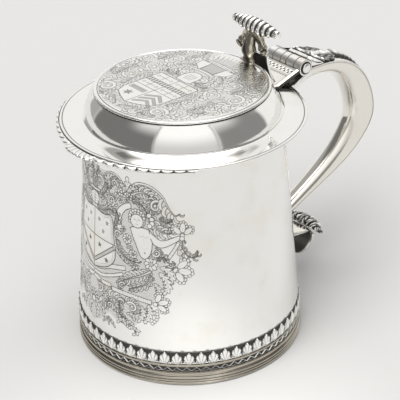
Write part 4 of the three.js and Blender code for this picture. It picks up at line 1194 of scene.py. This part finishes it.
def build_thumbpiece():
    y = np.linspace(-BAR_HALF, BAR_HALF, 260)
    t = np.abs(y / BAR_HALF)
    swell = (1.7 + 3.6 * (1 - t ** 1.9)) * np.clip((1 - t) / 0.03, 0.02, 1) ** 0.5
    button = hump(np.abs(y), 18.6, 0.9) * 0.25

    def screw(y, angle):
        return 1 - 0.27 * (1 - bar_wave(y, angle) ** 0.7) * (np.abs(y) < 18.3)

    rows = turned_across(np.stack([swell + button, y], 1), (55.9, 181.5), 48, screw)
    shade = unit((0.5 - bar_wave(y[:, None], circle(48))) * 3.4) * (np.abs(y[:, None]) < 18.6)
    make("thumb_bar_corkscrew", rows, LID, "thumb_bar", cast_silver, 60, shade=shade)

    # the stem, which stands on the back edge of the lid's plate and spreads into the bar
    path = even_path([(50.4, 162.0), (50.0, 166.5), (51.4, 173), (53.4, 177.2), (54.6, 179.4)], 70)
    t = np.linspace(0, 1, 70)
    at = (0, 0.12, 0.32, 0.58, 0.8, 0.9, 1)
    wide = keyed(list(zip(at, (4.6, 3.6, 5.0, 3.6, 3.3, 4.2, 5.8))), t)
    deep = keyed(list(zip(at, (3.4, 2.6, 3.7, 2.8, 2.5, 2.7, 2.8))), t)
    fold = 0.55 * unit(np.cos(3 * circle(36)[None] + 5 * t[:, None])) ** 2
    shade = np.clip(0.2 + 1.3 * fold + 0.35 * hump(t[:, None], 0.1, 0.06), 0, 0.92)
    make("thumb_stem_cast", swept(side_frames(path), ellipse(wide, deep, 36, 0.85)), LID, "thumb_stem",
         thumb_silver, 45, shade=shade)

    t = np.linspace(0, 1, 60)
    wide = keyed([(0, 3.0), (0.25, 2.6), (0.5, 2.0), (0.72, 2.6), (0.84, 1.8), (0.93, 2.5), (1, 0.6)], t)
    for side, node in ((-1, "thumb_arm_right"), (1, "thumb_arm_left")):
        route = even_path([(53.6, side * 2.2, 178.2), (53.8, side * 4.8, 176.4), (53.6, side * 7.4, 173.2),
                           (53.0, side * 9.6, 169.8), (52.6, side * 11.4, 167.6)], 60)
        fold = 0.6 * unit(np.cos(2 * circle(20)[None] + 4 * t[:, None] + side)) ** 2
        shade = np.clip(0.85 * hump(t, 0.84, 0.03)[:, None] + fold + 0.15, 0, 0.95)
        make(f"{node}_cast", swept(space_frames(route), ellipse(wide, wide * 1.15, 20, 0.8)), LID, node,
             thumb_silver, 60, shade=shade)

    # the dished brace behind the stem, down to the hinge plate
    rise, across = np.meshgrid(np.linspace(0, 1, 30), np.linspace(-1, 1, 33), indexing="ij")
    x = 54.1 + 5.8 * rise
    z = 166.2 - 17.9 * rise
    half = 12.2 - 1.6 * np.sin(math.pi * rise) ** 0.8
    dish = 0.9 * (1 - across ** 2) * np.sin(math.pi * (0.15 + 0.7 * rise))
    front = np.stack([x - 0.75 + dish * 0.6, across * half, z - 0.24 + dish * 0.2], -1)
    back = np.stack([x + 0.55 + dish * 0.3, across * half, z + 0.18], -1)[:, ::-1]
    # painted shadow: the front face is dark and the back a little less, except at the side rims
    plain = 1 - unit((np.abs(across) - 0.86) / 0.08)
    make("thumb_brace_cast", np.concatenate([front, back], 1), LID, "thumb_apron", cast_silver, 40,
         shade=np.concatenate([0.97 * plain, 0.7 * plain], 1))


# ---- handle ----

STRAP_LINE = [(87.9, 150.3), (97.5, 150.0), (107, 148.8), (119, 145.2), (130.6, 138.4), (141.2, 127.4),
              (148.2, 113.5), (150.6, 101), (147.6, 90.0), (139.8, 80), (127.6, 70.2), (112, 61.9),
              (95.4, 54.2), (81.7, 47.8), (70, 42.2)]
HANDLE_WIDTHS = [(0, 28.6), (0.08, 28), (0.3, 19.5), (0.48, 17.6), (0.85, 12.5), (1, 12)]
HANDLE_DEPTHS = [(0, 10.5), (0.12, 9.6), (0.28, 13.6), (0.45, 18.6), (0.62, 14.2), (0.82, 7.4), (1, 5.5)]
# how square the channel's section is, across and in depth
CHANNEL_ACROSS, CHANNEL_DEEP = 0.72, 0.85


def handle_frames(count, start=0.0, end=1.0):
    """Frames along part of the handle's outer line, by share of its length."""
    path = even_path(STRAP_LINE, 400, 900)
    at = np.linspace(start, end, count)
    steps = np.linspace(0, 1, 400)
    path = np.stack([np.interp(at, steps, path[:, k]) for k in range(2)], 1)
    centre, across, out = side_frames(path)
    return at, (centre, across, -out if out[0, 2] < 0 else out)


def trim_to_body(rows):
    """Ends a swept piece on the body's skin instead of inside it."""
    rows = rows.copy()
    x, y, z = rows[..., 0], rows[..., 1], rows[..., 2]
    limit = np.sqrt(np.maximum((skin_radius(z) + 0.3) ** 2 - y ** 2, 0))
    rows[..., 0] = np.where((z < 80) & (x < limit), limit, x)
    return rows


def build_handle():
    count = 190
    t, frames = handle_frames(count)
    half = flowing(HANDLE_WIDTHS, t)[:, None] / 2
    depth = flowing(HANDLE_DEPTHS, t)[:, None]
    # outer strap: a flat band whose edges are rolled over
    s = np.linspace(-1, 1, 23)
    bowed = unit((t - 0.25) / 0.3)[:, None]
    top = -0.12 * s ** 2 - (0.35 + 0.9 * bowed) * np.abs(s) ** 6 - bowed * 1.1 * s ** 2
    strap = np.stack([half * s + 0 * top, top], -1)
    under = np.stack([half * s[::-1] * 0.985, -1.4 - bowed * 1.1 * s[::-1] ** 2 * 0.6 + 0 * top], -1)
    # painted shade: the rolled edges are darker and the underside is shaded
    edge_and_underside_shade = np.tile(np.concatenate([0.3 * np.abs(s) ** 12, 0.2 + 0 * s]), (count, 1))
    make("handle_strap_raised", trim_to_body(swept(frames, np.concatenate([strap, under], 1))), BODY,
         "handle_strap", handle_silver, 50, shade=edge_and_underside_shade)
    # inner channel: a deep rounded trough soldered along the strap's edges
    angle = np.linspace(0, math.pi, 41)
    c = squared(np.cos(angle), CHANNEL_ACROSS)
    sn = np.abs(np.sin(angle)) ** CHANNEL_DEEP
    wide = half - 0.25
    outer = np.stack([wide * c, -1.55 - bowed * 0.6 - (depth - 1.7) * sn], -1)
    inner = np.stack([(wide - 1.3) * c[::-1], -1.6 - bowed * 0.6 - (depth - 3.0) * sn[::-1]], -1)
    # darker seams along the strap's edges, and smudges on the inner side near the top of the arch: brown
    # tarnish and painted shade
    seam = np.zeros((count, 82))
    seam[:, [0, 40]] = 0.4
    around = np.arange(41)[None]
    t = t[:, None]
    ragged = 1 + 0.25 * np.sin(70 * t + 1.3) * np.sin(0.9 * around) + 0.15 * np.sin(150 * t)
    for middle, spread, side, reach, soot_and_shade in ((0.37, 0.03, 28, 1.6, 0.36), (0.42, 0.06, 28.5, 1.8, 0.24),
                                              (0.3, 0.09, 27, 3.0, 0.16)):
        smudge_and_shade = soot_and_shade * np.exp(-((t - middle) / spread) ** 2 - ((around - side) / reach) ** 2)
        seam[:, :41] = np.maximum(seam[:, :41], smudge_and_shade * ragged)
    make("handle_channel_raised", trim_to_body(swept(frames, np.concatenate([outer, inner], 1))), BODY,
         "handle_channel", handle_silver, 50, shade=unit(seam))
    build_root()
    build_rat_tail()
    build_handle_marks()


def build_root():
    """The block under the hinge, from the body's rim out to the knuckles."""
    low = even_path([(57.5, 134.0), (66, 134.9), (76, 136.8), (88.4, 139.6)], 12)
    outline = np.vstack([low, [(88.4, 148.9)], knuckle_hollow(-32, -95, 8), [(74.2, 142.5), (57.5, 142.5)]])
    rows = []
    for y in np.linspace(-13.6, 13.6, 41):
        section = outline.copy()
        # the underside rounds over towards the handle, to meet the channel's own section
        level = abs(y / 14.05) ** (1 / CHANNEL_ACROSS)
        rise = 8.8 * (1 - math.sqrt(1 - level * level) ** CHANNEL_DEEP)
        part = unit((low[:, 0] - 62) / 24)
        section[:12, 1] += rise * part * part * (3 - 2 * part)
        section[:, 0] = np.maximum(section[:, 0], math.sqrt((skin_radius(138) + 2.0) ** 2 - y * y))
        rows.append(np.insert(section, 1, y, 1))
    make("handle_root_cast", rows, BODY, "handle_root", worn_silver, 30)


def build_rat_tail():
    """The cast drop on the handle's shoulder: a scrolled leafy plate that runs out into shrinking beads."""
    count = 240
    _, frames = handle_frames(count, 0.052, 0.305)
    run = np.linspace(0, 1, count)[:, None]
    s = np.linspace(-1, 1, 61)[None]
    half = keyed([(0, 13.6), (0.1, 13.4), (0.2, 12.6), (0.36, 6.0), (0.5, 5.2), (1, 2.6)], run)
    lobes = 1 + 0.07 * np.cos(run * 62) * (run < 0.4)
    bead = np.abs(np.sin(math.pi * 6 * unit(run - 0.4) / 0.6)) ** 0.6
    x = s * (half * np.where(run > 0.4, 0.55 + 0.5 * bead, lobes))
    inwards = 1 - np.abs(s)
    # the plate: ribs and swirls under a middle ridge, a border and a head
    along = run * 46.0
    rib = 0.5 + 0.5 * np.cos(x * 1.35 + 2.6 * np.sin(along * 0.42))
    swirl = 0.5 + 0.5 * np.cos(np.hypot(x - 5.2 * np.sign(x), along - 7) * 2.1
                               - 2.2 * np.arctan2(along - 7, np.abs(x) - 5.2))
    plate = 0.45 + 0.75 * rib * 0.5 + 0.85 * swirl * 0.5
    plate = plate + np.exp(-(x / 2.4) ** 2) * (0.9 + 0.5 * np.abs(np.sin(along * 0.7)))
    plate = plate + hump(inwards, 0, 0.08) * 0.5 + hump(along, 1.2, 0.8)
    blend = unit((run - 0.34) / 0.08)
    height = plate * (1 - blend) + (0.7 + 2.6 * bead) * np.sqrt(unit(1 - s ** 2)) * blend
    height = height * np.clip(inwards / 0.06, 0.12, 1) * (1.0 - 0.2 * run)
    dark = unit(1.5 - 0.85 * height) * (1 - blend) + unit(1.5 - 0.5 * height) * blend
    dark = np.maximum(dark, 0.9 * hump(inwards, 0, 0.05))
    upper = np.stack([x, 0.25 + height], -1)
    lower = np.stack([x[:, ::-1] * 0.98, np.full_like(x, 0.05)], -1)
    make("rat_tail_cast", swept(frames, np.concatenate([upper, lower], 1)), BODY, "rat_tail",
         cast_silver, 60, shade=np.concatenate([dark, np.full_like(dark, 0.8)], 1))


def lump(name, centre, size, body, dark):
    """A small bead of solder with a lopsided round form."""
    angle, turn = np.linspace(0, math.pi, 10)[:, None], circle(14)
    r = np.sin(angle) * (1 + 0.12 * np.sin(3 * turn)[None] * np.sin(angle))
    rows = np.stack([centre[0] + size[0] * r * np.cos(turn), centre[1] + size[1] * r * np.sin(turn),
                     centre[2] + size[2] * np.cos(angle) + 0 * turn], -1)
    make(name, rows, body, None, worn_silver, 80, shade=np.full(rows.shape[:2], dark))


def build_handle_marks():
    _, (centre, across, out) = handle_frames(200)
    low = int(np.argmin(np.hypot(centre[:, 0] - 117, centre[:, 2] - 64)))
    lump("solder_bump_handle", centre[low] - 4.5 * across[low] - 0.45 * out[low], (1.1, 0.9, 1.0), BODY, 0.2)
    lump("flange_pip", (13.4, -59.5, 145.1), (0.7, 0.7, 0.6), LID, 0.0)


# ---- handle terminal ----

def build_terminal():
    # the tail that curls out from the body
    t = np.linspace(0, 1, 60)
    half = keyed([(0, 5.5), (0.5, 6.5), (1, 9)], t)[:, None]
    thick = keyed([(0, 5), (0.5, 4), (1, 2.4)], t)[:, None]
    c, s = np.cos(circle(28)), np.sin(circle(28))
    outline = np.stack([half * np.sign(c) * np.abs(c) ** 0.6, thick / 2 * np.sign(s) * np.abs(s) ** 0.8], -1)
    path = even_path([(66.4, 43.6), (70.5, 36.5), (79, 32.2), (92.4, 31.4)], 60)
    make("handle_tail_curled", trim_to_body(swept(side_frames(path), outline)), BODY, "handle_tail",
         handle_silver, 50)

    # the dished shield that hangs from the tail
    s = np.linspace(-1, 1, 41)
    half = 13 * np.sqrt(unit(1 - 0.985 * t ** 2.2))[:, None]
    bulge = 3.2 * np.sqrt(1 - 0.9 * t * t)[:, None]
    rim = hump(np.abs(s), 1, 0.1)[None] * 0.35
    drop = 0.3 * hump(t[:, None], 0.45, 0.25) * hump(s, 0, 0.3)
    front = np.stack([half * s, bulge * (1 - s ** 2) + rim + drop], -1)
    back = np.stack([half * s[::-1] * 0.97, bulge * (1 - s[::-1] ** 2) - 1.2 + 0 * half], -1)
    rows = swept(side_frames(even_path([(93.4, 30.8), (92.6, 24), (88.5, 13.6)], 60)),
                 np.concatenate([front, back], 1))
    # painted dark reflection over both faces of the dish, with a lighter rim
    face = 0.9 - 0.9 * hump(np.abs(s), 1, 0.16)[None] + 0.1 * np.sin(9 * t)[:, None]
    make("terminal_shield_dished", rows, BODY, "terminal_shield", handle_silver, 50,
         shade=np.concatenate([face, face[:, ::-1]], 1))

    # the leafy crest across the top of the shield: curled leaves on both sides of a middle one
    u = np.linspace(-1, 1, 360)
    centre = np.stack([98.0 - 1.4 * u ** 2, 17 * u, 32.2 + 2.4 * (1 - u * u)], 1)
    u = u[:, None]
    angle = circle(48)
    lean = 1.1 * np.sign(u) * np.cos(angle)
    wave = np.abs(np.cos(math.pi * 4.5 * np.abs(u) ** 0.85 + lean)) ** 0.7
    flute = 0.5 + 0.5 * np.cos(4 * angle + 13 * np.sin(7 * np.abs(u)))
    size = (1.0 + 2.8 * (1 - u * u) ** 0.75) * (0.5 + 0.5 * wave) * (1 - 0.3 * flute)
    size = size * np.clip((1 - np.abs(u)) / 0.02, 0.05, 1) ** 0.5
    outline = np.stack([size * np.cos(angle) * 1.3, size * np.sin(angle) * 0.95], -1)
    make("terminal_crest_cast", swept(space_frames(centre), outline), BODY, "terminal_crest",
         cast_silver, 60, shade=np.clip(1.3 - 1.3 * wave + 0.85 * flute, 0.1, 0.95))


# ---- stage ----

# The studio: panels round the object, each (azimuth, half width, lowest, highest, side softness, top
# softness) in degrees and its brightness. Azimuth is from +X towards +Y. Later panels cover earlier ones.
WALL_LEVEL = 0.92
PANELS = [
    ((155, 43, -30, 58, 3.0, 3.0), 0.18),
    ((304, 32, -30, 58, 3.0, 3.0), 0.25),
    ((101, 11, -30, 58, 4.0, 4.0), 0.40),
    ((345, 15, 28, 52, 6.0, 6.0), 0.42),
    ((235, 72, 38, 66, 14.0, 14.0), 0.85),
    ((235, 37, -30, 63, 1.2, 1.2), 1.06),
    ((235, 37, -30, 22, 1.2, 16.0), 0.64),
    ((198, 1.3, -30, 60, 0.8, 0.8), 0.45),
    ((270, 1.3, -30, 60, 0.8, 0.8), 0.50),
    ((232, 180, 62, 120, 3.0, 3.0), 2.75),
]
LIGHT_TINT = (1.0, 0.992, 0.975, 1.0)

# the lamp's azimuth from +X towards +Y, its elevation and its width, in degrees
LAMP_STRENGTH = 2.1
LAMP_AZIMUTH, LAMP_ELEVATION, LAMP_WIDTH = 196, 52, 42

FLOOR_HALF = 4.0
FLOOR_DROP = 0.0002

# the camera, fitted to the photograph: azimuth is from -Y towards -X; degrees, millimetres, then metres
CAMERA_AZIMUTH, CAMERA_ELEVATION, CAMERA_ROLL = 38.5, 29.39, 1.55
CAMERA_LENS, CAMERA_SENSOR = 124.16, 36.0
CAMERA_PLACE = (AXIS_X - 0.4400, -0.5664, 0.4892)


def add_to_scene(name, data):
    item = bpy.data.objects.new(name, data)
    bpy.context.scene.collection.objects.link(item)
    return item


def build_stage():
    mesh = bpy.data.meshes.new("studio_floor")
    corners = [(x * FLOOR_HALF, y * FLOOR_HALF, 0) for x, y in ((-1, -1), (1, -1), (1, 1), (-1, 1))]
    mesh.from_pydata(corners, [], [(0, 1, 2, 3)])
    mesh.materials.append(floor_with_painted_light_pool())
    floor = add_to_scene("studio_floor", mesh)
    floor.location.z = -FLOOR_DROP
    # a wide soft lamp from in front on the left; it lights the floor and is not seen in the silver
    lamp = bpy.data.lights.new("front_lamp", "SUN")
    lamp.energy = LAMP_STRENGTH
    lamp.angle = math.radians(LAMP_WIDTH)
    lamp.color = LIGHT_TINT[:3]
    holder = add_to_scene("front_lamp", lamp)
    azimuth, elevation = math.radians(LAMP_AZIMUTH), math.radians(LAMP_ELEVATION)
    towards = Vector((math.cos(azimuth) * math.cos(elevation), math.sin(azimuth) * math.cos(elevation),
                      math.sin(elevation)))
    holder.rotation_euler = towards.to_track_quat("Z", "Y").to_euler()
    holder.visible_glossy = False


def build_world():
    world = bpy.data.worlds.new("studio")
    bpy.context.scene.world = world
    n = Nodes(world, "Background", "Generated")
    maths = n.maths

    def fade(value, edge, soft):
        """0 below an edge and 1 above it, or the other way round where soft is negative."""
        return n.ramp(value, edge - soft, edge + soft)

    split = n.add("ShaderNodeSeparateXYZ")
    n.put(split.inputs[0], n.where())
    around = maths("ARCTAN2", split.outputs["Y"], split.outputs["X"])
    above = maths("ARCSINE", split.outputs["Z"])

    level = WALL_LEVEL
    for extent, strength in PANELS:
        middle, half, low, high, side_soft, top_soft = (math.radians(angle) for angle in extent)
        beside = maths("ABSOLUTE", maths("WRAP", maths("SUBTRACT", around, middle), math.pi, -math.pi))
        inside = maths("MULTIPLY", fade(above, low, top_soft), fade(above, high, -top_soft))
        inside = maths("MULTIPLY", inside, fade(beside, half, -side_soft))
        level = maths("ADD", maths("MULTIPLY", inside, strength),
                      maths("MULTIPLY", maths("SUBTRACT", 1.0, inside), level))
    n.put(n.shader["Strength"], level)
    n.put(n.shader["Color"], LIGHT_TINT)
    bpy.context.scene.view_settings.view_transform = "Standard"


def build_camera():
    """A long lens looking down from in front, on the side of the body away from the handle."""
    azimuth, elevation, roll = (math.radians(angle) for angle in
                                (CAMERA_AZIMUTH, CAMERA_ELEVATION, CAMERA_ROLL))
    right = Vector((math.cos(azimuth), -math.sin(azimuth), 0))
    back = Vector((-math.cos(elevation) * math.sin(azimuth), -math.cos(elevation) * math.cos(azimuth),
                   math.sin(elevation)))
    up = back.cross(right)
    turned_right = right * math.cos(roll) - up * math.sin(roll)
    turned_up = right * math.sin(roll) + up * math.cos(roll)
    data = bpy.data.cameras.new("camera")
    data.lens = CAMERA_LENS
    data.sensor_width = CAMERA_SENSOR
    data.clip_end = 50.0
    camera = add_to_scene("camera", data)
    matrix = Matrix((turned_right, turned_up, back)).transposed().to_4x4()
    matrix.translation = CAMERA_PLACE
    camera.matrix_world = matrix
    bpy.context.scene.camera = camera


build_camera()
build_stage()
build_world()
build_foot()
build_barrel()
build_lid()
build_front_lip()
build_hinge()
build_thumbpiece()
build_handle()
build_terminal()
